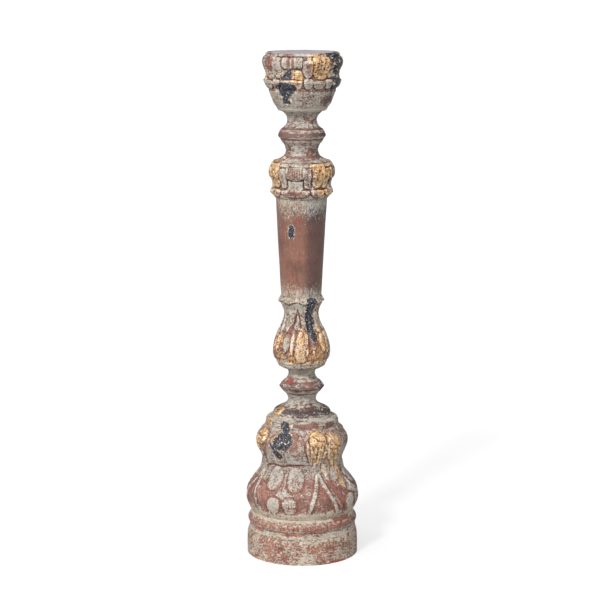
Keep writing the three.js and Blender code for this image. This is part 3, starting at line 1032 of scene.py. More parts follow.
def paint_lower_knop(wall):
    wall.prime(0.70, 0.35, 20, 60)
    wall.warm -= 0.3 * wall.fade(184, 190) * wall.fade(200, 196)
    wall.stain += 1.0 * wall.near(178.5, 7) + 0.5 * wall.near(207, 4)
    wall.wash_rings(
        (172.4, 1.6, 0.3), (179.5, 6, -0.42), (190, 6, 0.08), (199.6, 1.2, -0.35), (202.4, 1.3, 0.3),
        (206.8, 3, -0.45), (213, 2.6, -0.32), (218.6, 1.2, -0.4), (226, 5, 0.45),
    )
    for _ in wall.around((0, 215)):
        wall.wash_in(oval((14, 186), 40, 3.4), -0.2, soft=3)
        wall.wash_in(oval((16, 211), 16, 6), -0.28, soft=3)
        wall.wash_in(oval((62, 195), 26, 6), 0.25, soft=3)
        wall.cream([(-44, 175), (50, 174), (50, 182), (-40, 182)], -1.3)
        wall.red([(-60, 213), (-30, 213), (-30, 216), (-40, 219), (-60, 218)])
        wall.gold([(-74, 172), (-54, 172), (-50, 177), (-56, 183), (-74, 183)], 0.3)


def gild_baluster(wall):
    """The gilded leaves of one half, the gesso round them and the gilded foot."""
    drop = [
        (-3, 283), (6, 282), (14, 278), (13, 262), (9, 250), (10, 242), (-10, 240), (-17, 248), (-13, 256),
        (-10, 270),
    ]
    right = [
        (41, 281), (54, 284), (72, 278), (76, 256), (66, 240), (52, 238), (40, 240), (36, 250), (42, 264),
    ]
    left = [(-72, 276), (-58, 274), (-54, 262), (-56, 250), (-52, 240), (-66, 238), (-76, 256)]
    for leaf, gold, cream in ((drop, 0.1, 1.0), (right, 0.4, 1.2), (left, 0.1, 0.2)):
        wall.gold(leaf, gold)
        wall.cream(leaf, cream)
    wall.cream([(-6, 281), (6, 281), (8, 266), (0, 258), (-8, 266)])
    wall.gold([(-30, 253), (-14, 257), (-10, 247), (-16, 240), (-30, 240), (-34, 246)])
    wall.cream([(-25, 272), (-20, 276), (-17, 272), (-19, 256), (-24, 256)])
    wall.gold([(10, 258), (40, 260), (42, 250), (36, 239), (12, 240), (8, 250)], 0.0)
    wall.cream([(10, 252), (40, 254), (36, 239), (12, 240)], -0.2)
    # Less limewash at the top of the baluster's right side: painted shade, repeated on the far side.
    wall.wash_in(oval((66, 308), 22, 12), -0.3, soft=5)
    wall.gold([(-56, 274), (-46, 272), (-44, 260), (-44, 246), (-56, 240)], -0.2)
    wall.cream([(-60, 240), (-40, 239), (0, 238.5), (60, 239), (60, 236), (0, 235.6), (-60, 236)], -0.3)
    wall.cream(oval((-12, 254.5), 12, 1.6))


def paint_baluster(wall):
    wall.wash[:] = 0.56
    wall.wash_rings((235.4, 1.8, 0.4), (240.5, 3.0, 0.1))
    wall.wash += 0.20 * wall.fade(296, 302)
    wall.wash_in(oval((-12, 316), 18, 5), -0.25, soft=3)
    for _ in wall.around(QUARTERS):
        for path in BALUSTER_VEES:
            wall.wash_along(path, -0.75, width=3)
        wall.wash_in([(-48, 268), (-38, 277), (-25, 285), (-24, 279), (-34, 272), (-46, 263)], -0.4, soft=1.5)
        wall.wash_in(oval((-35, 265), 7, 9), 0.2)
        wall.wash_in([(-26, 252), (-14, 252), (-16, 240), (-24, 240)], -0.3)
        wall.wash_in([(13, 272), (38, 270), (40, 246), (34, 240), (14, 244)], -0.75)
        wall.wash_in([(-90, 250), (-70, 254), (-70, 244), (-90, 240)], -0.5)
    for _ in wall.around((0, 180)):
        gild_baluster(wall)
    for _ in wall.around((0, 170)):
        strip = [
            (14, 316), (26, 319), (40, 317), (44, 308), (39, 299), (44, 291), (40, 281), (44, 272),
            (37, 266), (25, 268), (20, 277), (14, 285), (10, 294), (14, 304),
        ]
        wall.black(strip)


def paint_shaft(wall):
    # Painted shade on the shaft's right side, and a limewash that is warmer on the lit left and cooler on the
    # shaded right: painted light and shade.
    wall.prime(-0.15, 0.6, 2, 24)
    wall.wash += 0.83 * np.maximum(wall.fade(400, 434), wall.fade(349, 314))
    wall.warm += 0.4 * smooth(wall.angle, 20, -20) - 0.4 * smooth(wall.angle, -5, 20)
    wall.stain += 0.35 * wall.fade(398, 425) * wall.fade(440, 420)
    for _ in wall.around((0, 150)):
        wall.wash_in(oval((-64, 428), 28, 9), -0.25, soft=5)
        wall.wash_in(oval((60, 430), 26, 8), 0.15, soft=5)
        wall.black(oval((-24.5, 398.5), 8.2, 9, squareness=2.4))
        wall.red([(-17, 410), (-9, 409), (-1, 412), (2, 418), (-6, 418.5), (-13, 416)], 0.4)
        wall.cream(oval((-4, 419), 2, 1))


def paint_capital(wall):
    wall.prime(0.56, 0.4, 60, 80)
    wall.wash_rings((478.4, 2.2, 0.1), (444.6, 1.6, -0.3))
    for _ in wall.around(QUARTERS):
        wall.wash_in(block(-27, 2.5, 449, 459), 0.2)
        wall.wash_in(block(-24, 0, 463, 474), -0.2)
        wall.wash_along([(-24, 446.5), (-12, 446.5), (0, 446.5)], -0.5, width=4)
        # Less limewash along the scallops' edges: painted shadow under them.
        for hem in CAPITAL_HEMS:
            wall.wash_along(hem, -0.6, width=2.4)
    for _ in wall.around((0, 180)):
        wall.gold([
            (19, 482), (40, 483.5), (62, 482), (64, 466), (60, 452), (44, 449), (34, 450), (29, 456),
            (24, 466),
        ])
        wall.gold([(-82, 482), (-58, 482), (-47, 476), (-45, 462), (-50, 451), (-82, 450)])
        wall.cream([(-52, 474), (-44, 472), (-45, 458), (-50, 456)])
        wall.gold([(32, 449), (60, 449), (60, 441.5), (40, 442)], 0.4)
        wall.cream([(30, 449), (44, 449), (44, 443), (34, 443)])
        wall.gold([(-78, 449), (-66, 449), (-62, 441), (-78, 440)])
        wall.cream([(-80, 449), (-48, 449), (-48, 441), (-80, 440)], 0.3)
        wall.cream([(34, 450), (76, 450), (76, 441), (36, 441)], 2)
        wall.cream([
            (10, 479), (19, 480), (24, 468), (28, 457), (36, 450), (24, 448), (16, 454), (13, 466),
        ], 0.1)
        wall.black(oval((66.5, 458.5), 4, 4))
        wall.red(block(-20, 20, 481.4, 482.6))


def paint_upper_knop(wall):
    wall.prime(0.60, 0.35, 15, 55)
    wall.warm -= 0.45 * (wall.fade(506, 500) + wall.fade(522, 527))
    # Stain round the knop's middle band, and painted shadow darkening the knop's top under the cup's lip.
    wall.stain += 0.4 * wall.near(513.4, 3) + 0.4 * wall.fade(534, 541)
    wall.wash_rings(
        (487.2, 1.6, -0.4), (496, 6, -0.06), (507.4, 1.2, -0.5), (509.6, 1.1, 0.3), (513.4, 2.6, -0.55),
        (517.6, 1.4, 0.12), (520.6, 1.3, -0.55),
    )
    for _ in wall.around((0, 180)):
        for centre in ((22, 491), (40, 493), (30, 497), (38, 528), (-35, 530), (14, 532)):
            wall.wash_in(oval(centre, 9, 2.2), -0.45)
        for centre in ((0, 493), (-6, 527)):
            wall.wash_in(oval(centre, 16, 5), 0.15)
        wall.wash_in(oval((-60, 513), 28, 6), -0.4, soft=3)
        wall.cream([(-74, 487), (-50, 486.4), (-40, 482), (-74, 481)], 0.4)
        wall.gold([(-80, 484), (-54, 484), (-50, 480), (-80, 480)], 0.3)


def paint_cup_black(wall):
    """What is left of the black paint at the cup's left and its right edge."""
    upper = [
        (-19, 591), (-16, 588), (-18, 585), (-17, 580.5), (-25, 579.5), (-35, 579.5), (-36, 582),
        (-34, 585), (-27, 589),
    ]
    wall.black(upper)
    spill = [
        (-33, 576.6), (-36, 576), (-46, 572.5), (-48, 568), (-42, 564), (-39, 555), (-38, 550), (-24, 550),
        (-25, 556), (-17, 562), (-13, 565.5), (-6, 568), (-11, 573), (-20, 575.6),
    ]
    wall.black(spill)
    edge = [
        (38, 608), (44, 612), (75, 612), (76, 576), (64, 565), (53, 565), (55, 574), (53, 580), (56, 586),
        (49, 589), (44, 594), (42, 601),
    ]
    wall.black(edge)


def gild_cup(wall):
    """The gilding of one half, the gesso round it, and the chips."""
    wall.wash_in([(-10, 560), (30, 559), (42, 554), (36, 550), (10, 549), (-8, 552)], -0.25, soft=4)
    wall.wash_in(oval((-55, 558), 12, 6), -0.1, soft=5)
    # Less limewash on the right of the bowl: painted shade, repeated on the far side.
    wall.wash_in(oval((64, 555), 26, 8), -0.6, soft=5)
    wall.gold([
        (-19, 588.5), (-8, 590), (0, 587.5), (1.5, 582), (-1, 577), (-8, 574.5), (-14, 576), (-19, 582),
    ])
    wall.gold([
        (14, 606), (22, 611), (40, 611), (48, 600), (48, 586), (40, 579), (26, 579), (15, 584), (13, 596),
    ])
    wall.cream([(7, 607), (14, 608), (15, 600), (10, 599)])
    wall.cream(oval((-33, 586), 4, 2))
    wall.gold([(-84, 586), (-72, 588), (-70, 580), (-84, 578)])
    wall.wash_in([(-66, 604), (-50, 604), (-50, 591), (-62, 590)], -0.45)
    wall.wash_along([(-30, 577.4), (-18, 578), (-4, 577.2)], 0.3, width=2)
    wall.cream([(-30, 576.6), (-18, 577.2), (-4, 576.6), (-4, 578), (-18, 578.6), (-30, 578)])
    chips = [
        (-8, 567), (-11, 564), (-5, 570), (49, 606), (45, 600), (48, 594), (50, 589), (57, 584), (56, 574),
        (66, 600), (70, 590), (67, 582), (-37, 589), (-39, 583), (-49, 575), (-47, 566), (-20, 555),
        (-30, 549.5), (-41, 559), (52, 598),
    ]
    for chip in chips:
        wall.cream(oval(chip, 2.8, 1.9))


def paint_cup(wall):
    wall.prime(0.56, 0.4, 25, 60)
    wall.wash += 0.32 * wall.fade(566, 562)
    wall.wash_rings((543.6, 1.6, 0.4), (565.6, 1.4, -0.4))
    wall.stain += 0.4 * wall.near(556, 8)
    for _ in wall.around(QUARTERS):
        for hem in CUP_HEMS:
            wall.wash_along(hem, -0.5, width=2.4)
        for height in (579.4, 576.2, 573.4):
            wall.wash_along([(18, height), (36, height)], -0.3, width=2.6)
        wall.wash_in(oval((8.8, 592), 8, 9), -0.14)
        wall.wash_in(oval((18, 572), 16, 6), 0.28)
        for angle in (-20.6, -14.2):
            wall.wash_along([(angle, 604), (angle, 594)], -0.7, width=4.5)
        wall.wash_along([(-17, 603), (-16.8, 596)], 0.5, width=2.5)
    for _ in wall.around((0, 180)):
        gild_cup(wall)
    for _ in wall.around((0, 195)):
        paint_cup_black(wall)


# ---- Materials ----


def linear(colour):
    """An sRGB colour from 0 to 255 as linear RGBA."""
    parts = np.array(colour, float) / 255
    parts = np.where(parts <= 0.04045, parts / 12.92, ((parts + 0.055) / 1.055) ** 2.4)
    return (*parts, 1.0)


def feed(socket, source):
    """Links a socket to another one, or sets its value."""
    if isinstance(source, bpy.types.NodeSocket):
        socket.id_data.links.new(source, socket)
    else:
        socket.default_value = source


def add_node(tree, kind, inputs=None, **settings):
    """Adds a shader node with its settings, and feeds its inputs, given by name or number."""
    node = tree.nodes.new("ShaderNode" + kind)
    for setting, value in settings.items():
        setattr(node, setting, value)
    for key, source in (inputs or {}).items():
        feed(node.inputs[key], source)
    return node


class Shader:
    """A material's nodes round one Principled surface. Sizes are in millimetres."""

    def __init__(self, name):
        self.material = bpy.data.materials.new(name)
        self.material.use_nodes = True
        self.tree = self.material.node_tree
        self.surface = self.tree.nodes["Principled BSDF"]
        place = self.add("TexCoord").outputs["Object"]
        self.place = self.add("VectorMath", {0: place, "Scale": 1 / MM}, operation="SCALE").outputs[0]

    def add(self, kind, inputs=None, **settings):
        return add_node(self.tree, kind, inputs, **settings)

    def maths(self, operation, *inputs):
        return self.add("Math", dict(enumerate(inputs)), operation=operation).outputs[0]

    def times(self, a, b):
        return self.maths("MULTIPLY", a, b)

    def plus(self, first, *others):
        for other in others:
            first = self.maths("ADD", first, other)
        return first

    def layer(self, name):
        return self.add("Attribute", attribute_name=name).outputs["Fac"]

    def noise(self, size, detail=3, stretch=(1, 1, 1), shift=0):
        """Noise from about -1 to 1 with features of about size mm, drawn out by stretch."""
        move = self.add("Mapping", {
            "Vector": self.place,
            "Location": (shift * 37.1, shift * 11.3, shift * 5.7),
            "Scale": [1 / (size * s) for s in stretch],
        })
        settings = {"Vector": move.outputs[0], "Scale": 1, "Detail": detail, "Roughness": 0.55}
        return self.maths("MULTIPLY_ADD", self.add("TexNoise", settings).outputs["Fac"], 4.0, -2.0)

    def step(self, value, low, high):
        """0 below low, 1 above high, with a smooth rise between."""
        inputs = {"Value": value, "From Min": low, "From Max": high}
        return self.add("MapRange", inputs, interpolation_type="SMOOTHSTEP").outputs["Result"]

    def mix(self, share, low, high):
        """A colour between low and high, which are colours from 0 to 255 or sockets."""
        ends = [end if isinstance(end, bpy.types.NodeSocket) else linear(end) for end in (low, high)]
        return self.add("Mix", {0: share, 6: ends[0], 7: ends[1]}, data_type="RGBA").outputs[2]

    def blend(self, share, low, high):
        """A number between low and high."""
        return self.add("Mix", {0: share, 2: low, 3: high}).outputs[0]

    def finish(self, colour, roughness, metallic, height):
        """Connects the surface. Height is the relief in millimetres."""
        bump = self.add("Bump", {"Strength": 1.0, "Distance": MM, "Height": height}).outputs[0]
        surface = {"Base Color": colour, "Roughness": roughness, "Metallic": metallic, "Normal": bump}
        for socket, source in surface.items():
            feed(self.surface.inputs[socket], source)
        return self.material


# The first is the dark of old stain, and also the colour of the painted shade on each section's right side.
STAIN_AND_SHADE, RUST, SIENNA = (70, 53, 53), (124, 72, 56), (166, 100, 70)
CARVED_WOOD = ((80, 54, 50), (150, 104, 90), (182, 139, 120))
TURNED_WOOD = ((68, 50, 47), (138, 99, 89), (172, 136, 122))
SHAFT_WOOD = ((94, 64, 53), (136, 95, 80), (158, 112, 84))
BASE_WOOD = ((102, 64, 54), (156, 103, 86), (186, 138, 118))
# Limewash tones; the darker one also serves as painted shade in hollows and the lighter one as painted
# highlight on raised edges.
WASH_SHADE, WASH, WASH_LIGHT = (135, 126, 114), (183, 178, 165), (214, 208, 196)
WASH_OLIVE, WASH_WARM, WASH_COOL = (162, 154, 129), (204, 186, 160), (168, 168, 164)
# Dark pits and pale flecks; they gather into hollows as painted shade and onto raised edges as painted
# highlight.
PIT_AND_SHADE, FLECK_AND_GLINT = (56, 42, 40), (222, 214, 202)
# Gold tones; the darkest also serves as painted shade in hollows and the palest as painted highlight on
# raised edges.
GOLD_SHADE, OCHRE, GOLD, GOLD_LIGHT = (148, 100, 56), (192, 140, 78), (214, 170, 116), (246, 226, 192)
# The dark of worn gold, laid partly as painted shade in hollows, and the brown size.
GOLD_WORN_AND_SHADE, GOLD_SIZE = (88, 54, 46), (160, 108, 78)
CREAM_SHADE, CREAM = (198, 168, 140), (238, 220, 198)
BLUE_BLACK, BLACK_LIGHT = (31, 36, 47), (112, 116, 128)
RED, RED_DARK = (178, 74, 66), (116, 54, 48)


class Coats:
    """The coats of a painted surface, laid from the wood outwards."""

    def __init__(self, name, speckle=1.0, coarseness=1.0, streak=1.0):
        self.s = s = Shader(name)
        sideways = (streak, streak, 1)
        self.broad = s.noise(17, 3)
        self.mid = s.noise(4.8 * coarseness, 3, stretch=sideways, shift=1)
        self.fine = s.noise(2.1 * coarseness, 2, stretch=sideways, shift=2)
        self.dust = s.noise(1.1, 2, shift=3)
        self.grain = s.noise(1.6, 3, stretch=(1, 1, 14), shift=4)
        self.ragged = s.plus(self.mid, s.times(self.fine, 0.8))
        self.hollow = s.layer("hollow")
        self.speckle = speckle
        self.colour, self.roughness, self.metallic, self.height = STAIN_AND_SHADE, 0.5, 0.0, 0.0

    def lay(self, share, colour, roughness=None, thickness=0.0, metallic=0.0):
        """Puts a coat over the earlier ones, where share is above 0."""
        s = self.s
        self.colour = s.mix(share, self.colour, colour)
        if roughness is not None:
            self.roughness = s.blend(share, self.roughness, roughness)
            self.metallic = s.blend(share, self.metallic, metallic)
        if thickness:
            self.height = s.plus(self.height, s.times(share, thickness))

    def edge(self, layer, raggedness):
        """Distance in mm to the edge of a patch of paint, made ragged. Positive inside."""
        return self.s.plus(self.s.layer(layer), self.s.times(self.ragged, raggedness))


def lay_wood(coats, wood, gloss, grain_strength):
    s = coats.s
    dark, middle, light = wood
    grain = s.times(coats.grain, grain_strength)
    tone = s.plus(s.times(coats.broad, 0.5), grain, s.times(coats.fine, 0.5 * coats.speckle))
    coats.colour = s.mix(s.step(tone, -1.0, 0.5), dark, middle)
    coats.lay(s.step(s.plus(coats.mid, grain), 0.2, 1.4), light)
    streaks = s.noise(3.5, 3, stretch=(1, 1, 5), shift=17)
    coats.lay(s.times(s.step(streaks, 0.0, 0.9), 0.35), SIENNA)
    coats.lay(s.times(s.step(s.times(coats.hollow, -1), 0.1, 0.8), 0.6), RUST)
    # Real stain, and the painted shade on each section's right side, darken the wood here.
    coats.lay(s.layer("stain"), STAIN_AND_SHADE)
    coats.roughness = s.blend(s.step(coats.mid, -1, 1), 0.50 - gloss, 0.62 - gloss)
    coats.height = s.plus(s.times(coats.grain, 0.06), s.times(coats.fine, 0.10 * coats.speckle))


def lay_limewash(coats, patchy, softness):
    """Limewash that clings to the raised wood and is rubbed through everywhere in fine specks."""
    s = coats.s
    specks = s.plus(s.times(coats.fine, 0.42), s.times(coats.dust, 0.40))
    noise = s.plus(s.times(coats.mid, 0.30 * patchy), s.times(specks, 0.5 + 0.5 * coats.speckle))
    cover = s.plus(s.layer("wash"), s.times(coats.broad, 0.16 * patchy), noise, s.times(coats.hollow, 0.22))
    share = s.step(cover, 0.5 - softness, 0.5 + softness)
    # Painted shade: the wash darkens in the hollows. Painted highlight: it lightens on raised edges. Both
    # ride on random tone.
    shade = s.plus(coats.broad, s.times(coats.fine, 1.2), s.times(coats.hollow, 0.5))
    tone = s.mix(s.step(shade, -1.2, 0.8), WASH_SHADE, WASH)
    drift = s.noise(46, 2, shift=14)
    tone = s.mix(s.times(s.step(drift, 0.1, 0.9), 0.7), tone, WASH_OLIVE)
    tone = s.mix(s.times(s.step(drift, -0.2, -0.9), 0.5), tone, WASH_WARM)
    tone = s.mix(s.times(s.layer("warm"), 0.8), tone, WASH_WARM)
    tone = s.mix(s.times(s.layer("warm"), -0.8), tone, WASH_COOL)
    raised = s.plus(coats.mid, coats.dust, s.times(coats.hollow, 0.8))
    tone = s.mix(s.step(raised, 0.5, 1.4), tone, WASH_LIGHT)
    coats.lay(s.times(share, 0.9), tone, roughness=0.8, thickness=0.22)


def lay_specks(coats):
    s = coats.s
    # Dark pits, which gather a little into the hollows as painted shade, and pale flecks, which gather onto
    # raised edges as painted highlight.
    pits = s.step(s.plus(s.noise(1.9, 2, shift=8), s.times(coats.hollow, -0.5)), 0.62, 0.95)
    coats.lay(s.times(pits, 0.75 * coats.speckle), PIT_AND_SHADE)
    coats.height = s.plus(coats.height, s.times(pits, -0.25))
    flecks = s.step(s.plus(s.noise(1.7, 2, shift=9), s.times(coats.hollow, 0.5)), 0.72, 1.0)
    coats.lay(s.times(flecks, 0.6 * coats.speckle), FLECK_AND_GLINT)
    coats.height = s.plus(coats.height, s.times(coats.dust, 0.10 * coats.speckle))


def lay_gesso(coats):
    """Cream gesso, which shows round the gilding and the black paint."""
    s = coats.s
    edge = s.maths("MAXIMUM", s.plus(coats.edge("gold", 1.4), 0.45), coats.edge("cream", 1.3))
    edge = s.maths("MAXIMUM", edge, s.plus(coats.edge("black", 0.8), s.times(coats.fine, 0.6), 1.0))
    share = s.times(s.step(edge, 0, 0.6), s.step(s.plus(coats.fine, s.times(coats.broad, 0.5)), -0.7, -0.1))
    tone = s.mix(s.step(coats.dust, -0.8, 0.7), CREAM_SHADE, CREAM)
    coats.lay(share, tone, roughness=0.8, thickness=0.2)


def lay_gold(coats):
    """Gold leaf, cracked and worn through to brown size and cream gesso, with painted highlight on raised
    edges and painted shade in hollows.
    """
    s = coats.s
    edge = coats.edge("gold", 1.4)
    share = s.times(s.step(edge, -0.4, 0.1), s.step(s.plus(coats.mid, coats.fine), -0.8, -0.3))
    # Painted shade in the hollows, over random tone.
    shade = s.plus(coats.broad, coats.fine, s.times(coats.hollow, 0.8))
    tone = s.mix(s.step(shade, -1.0, 0.3), GOLD_SHADE, GOLD)
    tone = s.mix(s.times(s.step(s.noise(8, 2, shift=16), -0.1, 0.5), 0.65), tone, OCHRE)
    # Painted highlight on raised edges, over random tone.
    glint = s.plus(coats.mid, coats.dust, s.times(coats.hollow, 0.6))
    tone = s.mix(s.step(glint, 0.3, 1.0), tone, GOLD_LIGHT)
    coats.lay(share, tone, roughness=0.42, thickness=0.15, metallic=0.2)
    inside = s.step(edge, 0.2, 0.8)
    chips = s.plus(s.noise(3.4, 3, shift=15), s.times(coats.dust, 0.6))
    coats.lay(s.times(inside, s.step(chips, 0.45, 0.65)), CREAM, roughness=0.8)
    flaking = s.noise(2.6, 3, stretch=(1, 1, 1.8), shift=6)
    # The dark worn patches gather in the hollows: partly wear, partly painted shade.
    wear_and_shade = s.plus(flaking, s.times(coats.dust, 0.6), s.times(coats.hollow, -1.1))
    tone = s.mix(s.step(coats.fine, -0.6, 0.9), GOLD_WORN_AND_SHADE, GOLD_SIZE)
    coats.lay(s.times(inside, s.step(wear_and_shade, 0.22, 0.5)), tone, roughness=0.7, thickness=-0.2)


def lay_red(coats):
    s = coats.s
    share = s.times(s.step(coats.edge("red", 0.8), 0, 0.6), s.step(s.plus(coats.fine, coats.mid), -1.0, -0.3))
    tone = s.mix(s.step(coats.fine, -0.7, 0.8), RED_DARK, RED)
    coats.lay(s.times(share, 0.85), tone, roughness=0.6, thickness=0.1)


def lay_black(coats):
    s = coats.s
    edge = s.plus(coats.edge("black", 0.8), coats.fine, s.times(coats.dust, 0.8))
    bare = s.step(coats.edge("cream", 1.3), 0.0, 0.4)
    rim = s.step(edge, 2.4, 0.4)
    chips = s.plus(s.noise(2.2, 3, shift=12), s.times(coats.dust, 0.8), s.times(rim, 0.3))
    tone = s.mix(s.step(s.plus(coats.dust, s.times(coats.fine, 0.8)), -0.2, 1.3), BLUE_BLACK, BLACK_LIGHT)
    share = s.times(s.step(edge, -0.4, 0.1), s.step(chips, 0.85, 0.68))
    coats.lay(s.times(share, s.blend(bare, 1.0, 0.0)), tone, roughness=0.5, thickness=0.25)


def painted_wood(name, wood=CARVED_WOOD, gloss=0.0, grain=0.6, patchy=1.0, softness=0.16, **texture):
    """Stained wood under chipped limewash, gilding on cream gesso, red and blue-black paint."""
    coats = Coats(name, **texture)
    lay_wood(coats, wood, gloss, grain)
    lay_limewash(coats, patchy, softness)
    for lay in (lay_specks, lay_gesso, lay_gold, lay_red, lay_black):
        lay(coats)
    return coats.s.finish(coats.colour, coats.roughness, coats.metallic, coats.height)


def beech(name):
    s = Shader(name)
    grain = s.noise(0.9, 4, stretch=(1, 1, 18))
    flecks = s.noise(0.5, 2, stretch=(1, 1, 5), shift=2)
    colour = s.mix(s.step(grain, -1.2, 1.2), (176, 130, 88), (214, 176, 132))
    colour = s.mix(s.times(s.step(flecks, 0.6, 1.4), 0.5), colour, (140, 92, 58))
    return s.finish(colour, s.blend(s.step(grain, -1, 1), 0.55, 0.7), 0.0, s.times(grain, 0.06))


def screw_steel(name):
    s = Shader(name)
    rust, fine = s.noise(3.5, 4), s.noise(0.6, 3, shift=1)
    rusty = s.step(s.plus(rust, s.times(fine, 0.5)), 0.4, 1.1)
    colour = s.mix(rusty, s.mix(s.step(fine, -1, 1), (120, 116, 110), (150, 146, 140)), (96, 58, 38))
    metallic = s.blend(rusty, 1.0, 0.1)
    return s.finish(colour, s.blend(rusty, 0.38, 0.85), metallic, s.times(fine, 0.05))


def plate_paint(name):
    s = Shader(name)
    broad, fine = s.noise(15, 3), s.noise(1.1, 3, shift=1)
    scratch = s.noise(0.6, 2, stretch=(14, 1, 1), shift=2)
    colour = s.mix(s.step(s.plus(broad, fine), -1.4, 1.4), (176, 164, 174), (206, 198, 206))
    colour = s.mix(s.times(s.step(scratch, 0.9, 1.5), 0.5), colour, (232, 226, 228))
    chipped = s.step(s.plus(s.noise(6, 4, shift=4), s.times(fine, 0.4)), 0.95, 1.2)
    colour = s.mix(chipped, colour, (116, 58, 52))
    height = s.plus(s.times(fine, 0.03), s.times(chipped, -0.08))
    return s.finish(colour, s.blend(chipped, 0.45, 0.75), s.blend(chipped, 0.25, 0.0), height)


# ---- Pieces ----

HEAD_SEAT = 12  # height of the face the screw heads pull up against
SCREW_HOLE = 2.9  # radius of the holes for the screws' shanks


def half_width(name):
    low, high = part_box(name)
    return (high.x - low.x) / 2 / MM


def dowel_bore(name):
    low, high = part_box(name)
    return Bore((0, 0), half_width(name) + FIT_GAP, low.z / MM - GLUE_SPACE, high.z / MM + GLUE_SPACE)


def screw_bore(name):
    low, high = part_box(name)
    place = ((low.x + high.x) / 2 / MM, (low.y + high.y) / 2 / MM)
    return Bore(place, SCREW_HOLE, -1, high.z / MM + GLUE_SPACE, half_width(name) + FIT_GAP, HEAD_SEAT)


def nothing(wall):
    """For a section whose shape is all turned."""


# Section, millimetres between rows, columns, its own carving, its paint and its material slot.
SECTIONS = (
    ("plinth", 0.9, 448, nothing, paint_plinth, "worn_base_paint"),
    ("base_ring", 0.7, 448, nothing, paint_base_ring, "worn_base_paint"),
    ("carved_bell", 0.62, 448, carve_bell, paint_bell, "gilded_carving"),
    ("cap_disc", 0.6, 448, nothing, paint_cap_disc, "limewash"),
    ("lower_knop", 0.5, 288, nothing, paint_lower_knop, "limewash"),
    ("baluster", 0.5, 384, carve_baluster, paint_baluster, "gilded_carving"),
    ("shaft", 0.9, 320, nothing, paint_shaft, "stained_shaft"),
    ("capital", 0.45, 416, carve_capital, paint_capital, "gilded_carving"),
    ("upper_knop", 0.5, 288, nothing, paint_upper_knop, "limewash"),
    ("cup", 0.46, 448, carve_cup, paint_cup, "gilded_carving"),
)


def build_sections(materials):
    names = list(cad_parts)
    bores = [dowel_bore(name) for name in names if name.endswith("_dowel")]
    bores += [screw_bore(name) for name in names if name.startswith("base_screw")]
    rebate_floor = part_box("candle_plate")[0].z / MM
    for name, spacing, columns, carve, paint, slot in SECTIONS:
        is_top = name == "cup"
        wall = Wall(name, spacing, columns, half_width("candle_plate") + FIT_GAP if is_top else None)
        carve(wall)
        turn_rings(wall)
        wall.weather(0.6 if name == "shaft" else 1.0)
        paint(wall)
        wall.crumple()
        piece = build_section(wall, bores, materials[slot], rebate_floor if is_top else None)
        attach(piece, "root")
        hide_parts(name)


def dress_small_parts():
    """Materials for the parts that keep their own shape: dowels, screws and the plate."""
    beech_wood, steel, paint = beech("dowel_beech"), screw_steel("screw_steel"), plate_paint("plate_paint")
    for name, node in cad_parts.items():
        for mark, material in (("_dowel", beech_wood), ("base_screw", steel), ("candle_plate", paint)):
            if mark in name:
                node.data.materials.clear()
                node.data.materials.append(material)


# ---- Studio ----

FLOOR_SIZE = 60  # metres, so that the floor fills the picture behind the stick
FLOOR_WHITE = 0.35  # the paper's own colour and glow, as the camera sees them
FLOOR_GLOW = 0.64
FLOOR_BOUNCE = 0.45  # its colour for the light that it gives back to the stick
CAMERA_PLACE = (0, -2.4455, 0.7492)
CAMERA_DOWN = math.radians(10.13)
CAMERA_LEFT = math.radians(0.067)
CAMERA_LENS = 123.6
SUN_FROM = (-0.42, -0.91)  # towards the sun on the floor
SUN_UP = math.radians(42)
SUN_STRENGTH = 1.7
SUN_WIDTH = math.radians(9)
WORLD_FROM = (-0.30, -0.85, 0.42)  # the middle of the soft light
WORLD_BRIGHT = 1.5
WORLD_DIM = 0.16


def add_object(name, data):
    added = bpy.data.objects.new(name, data)
    bpy.context.scene.collection.objects.link(added)
    return added


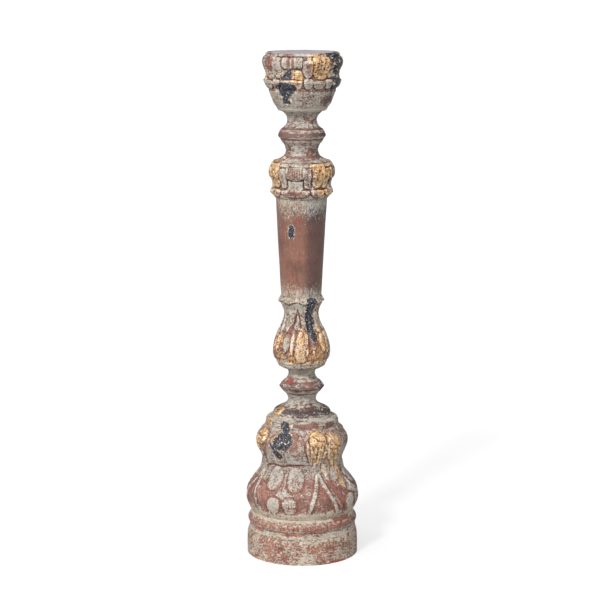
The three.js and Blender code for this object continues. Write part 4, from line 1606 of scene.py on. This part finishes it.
def build_floor():
    """White paper for the camera, which gives back little light to the stick."""
    half = FLOOR_SIZE / 2
    mesh = bpy.data.meshes.new("floor")
    mesh.from_pydata([(x, y, 0) for x, y in block(-half, half, -half, half)], [], [(0, 1, 2, 3)])
    paper = bpy.data.materials.new("floor_paper")
    paper.use_nodes = True
    tree = paper.node_tree
    seen = add_node(tree, "LightPath").outputs["Is Camera Ray"]
    colour = add_node(tree, "MapRange", {"Value": seen, "To Min": FLOOR_BOUNCE, "To Max": FLOOR_WHITE})
    glow = add_node(tree, "MapRange", {"Value": seen, "To Min": 0, "To Max": FLOOR_GLOW})
    surface = {
        "Base Color": colour.outputs["Result"],
        "Emission Strength": glow.outputs["Result"],
        "Emission Color": (1, 1, 1, 1),
        "Roughness": 0.9,
        "Specular IOR Level": 0.1,
    }
    for socket, source in surface.items():
        feed(tree.nodes["Principled BSDF"].inputs[socket], source)
    mesh.materials.append(paper)
    add_object("floor", mesh)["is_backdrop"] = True


def light_world():
    """A wide soft light in front and a little to the left, which falls off to the sides and the back."""
    scene = bpy.context.scene
    scene.world = scene.world or bpy.data.worlds.new("studio")
    scene.world.use_nodes = True
    tree = scene.world.node_tree
    tree.nodes.clear()
    towards = {0: add_node(tree, "TexCoord").outputs["Generated"], 1: Vector(WORLD_FROM).normalized()}
    facing = add_node(tree, "VectorMath", towards, operation="DOT_PRODUCT").outputs["Value"]
    levels = {"Value": facing, "From Min": -0.4, "From Max": 1.0, "To Min": WORLD_DIM, "To Max": WORLD_BRIGHT}
    level = add_node(tree, "MapRange", levels, interpolation_type="SMOOTHSTEP").outputs["Result"]
    light = add_node(tree, "Background", {"Color": (1, 1, 1, 1), "Strength": level}).outputs[0]
    add_node(tree, "OutputWorld", {"Surface": light})


def light_key():
    sun = bpy.data.lights.new("key_sun", "SUN")
    sun.energy, sun.angle = SUN_STRENGTH, SUN_WIDTH
    towards = Vector((SUN_FROM[0] * math.cos(SUN_UP), SUN_FROM[1] * math.cos(SUN_UP), math.sin(SUN_UP)))
    add_object("key_sun", sun).rotation_euler = towards.to_track_quat("Z", "Y").to_euler()


def place_camera():
    camera = bpy.data.cameras.new("camera")
    camera.lens, camera.clip_end = CAMERA_LENS, 100
    eye = add_object("camera", camera)
    eye.location = CAMERA_PLACE
    eye.rotation_euler = (math.pi / 2 - CAMERA_DOWN, 0, CAMERA_LEFT)
    bpy.context.scene.camera = eye


PAINTS = {
    "worn_base_paint": dict(wood=BASE_WOOD, speckle=1.1, patchy=0.5, coarseness=0.85, streak=1.7),
    "gilded_carving": {},
    "limewash": dict(wood=TURNED_WOOD, speckle=0.7, patchy=0.8, coarseness=0.8, streak=2.6),
    "stained_shaft": dict(wood=SHAFT_WOOD, gloss=0.14, speckle=0.3, grain=0.4, softness=0.38, streak=0.5),
}

build_sections({slot: painted_wood(slot, **looks) for slot, looks in PAINTS.items()})
dress_small_parts()
build_floor()
light_world()
light_key()
place_camera()
bpy.context.scene.view_settings.view_transform = "Standard"

looks_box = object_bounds()
boxes = {"cad": cad_box, "blender": looks_box}
{name: [list(corner) for corner in box] for name, box in boxes.items()}
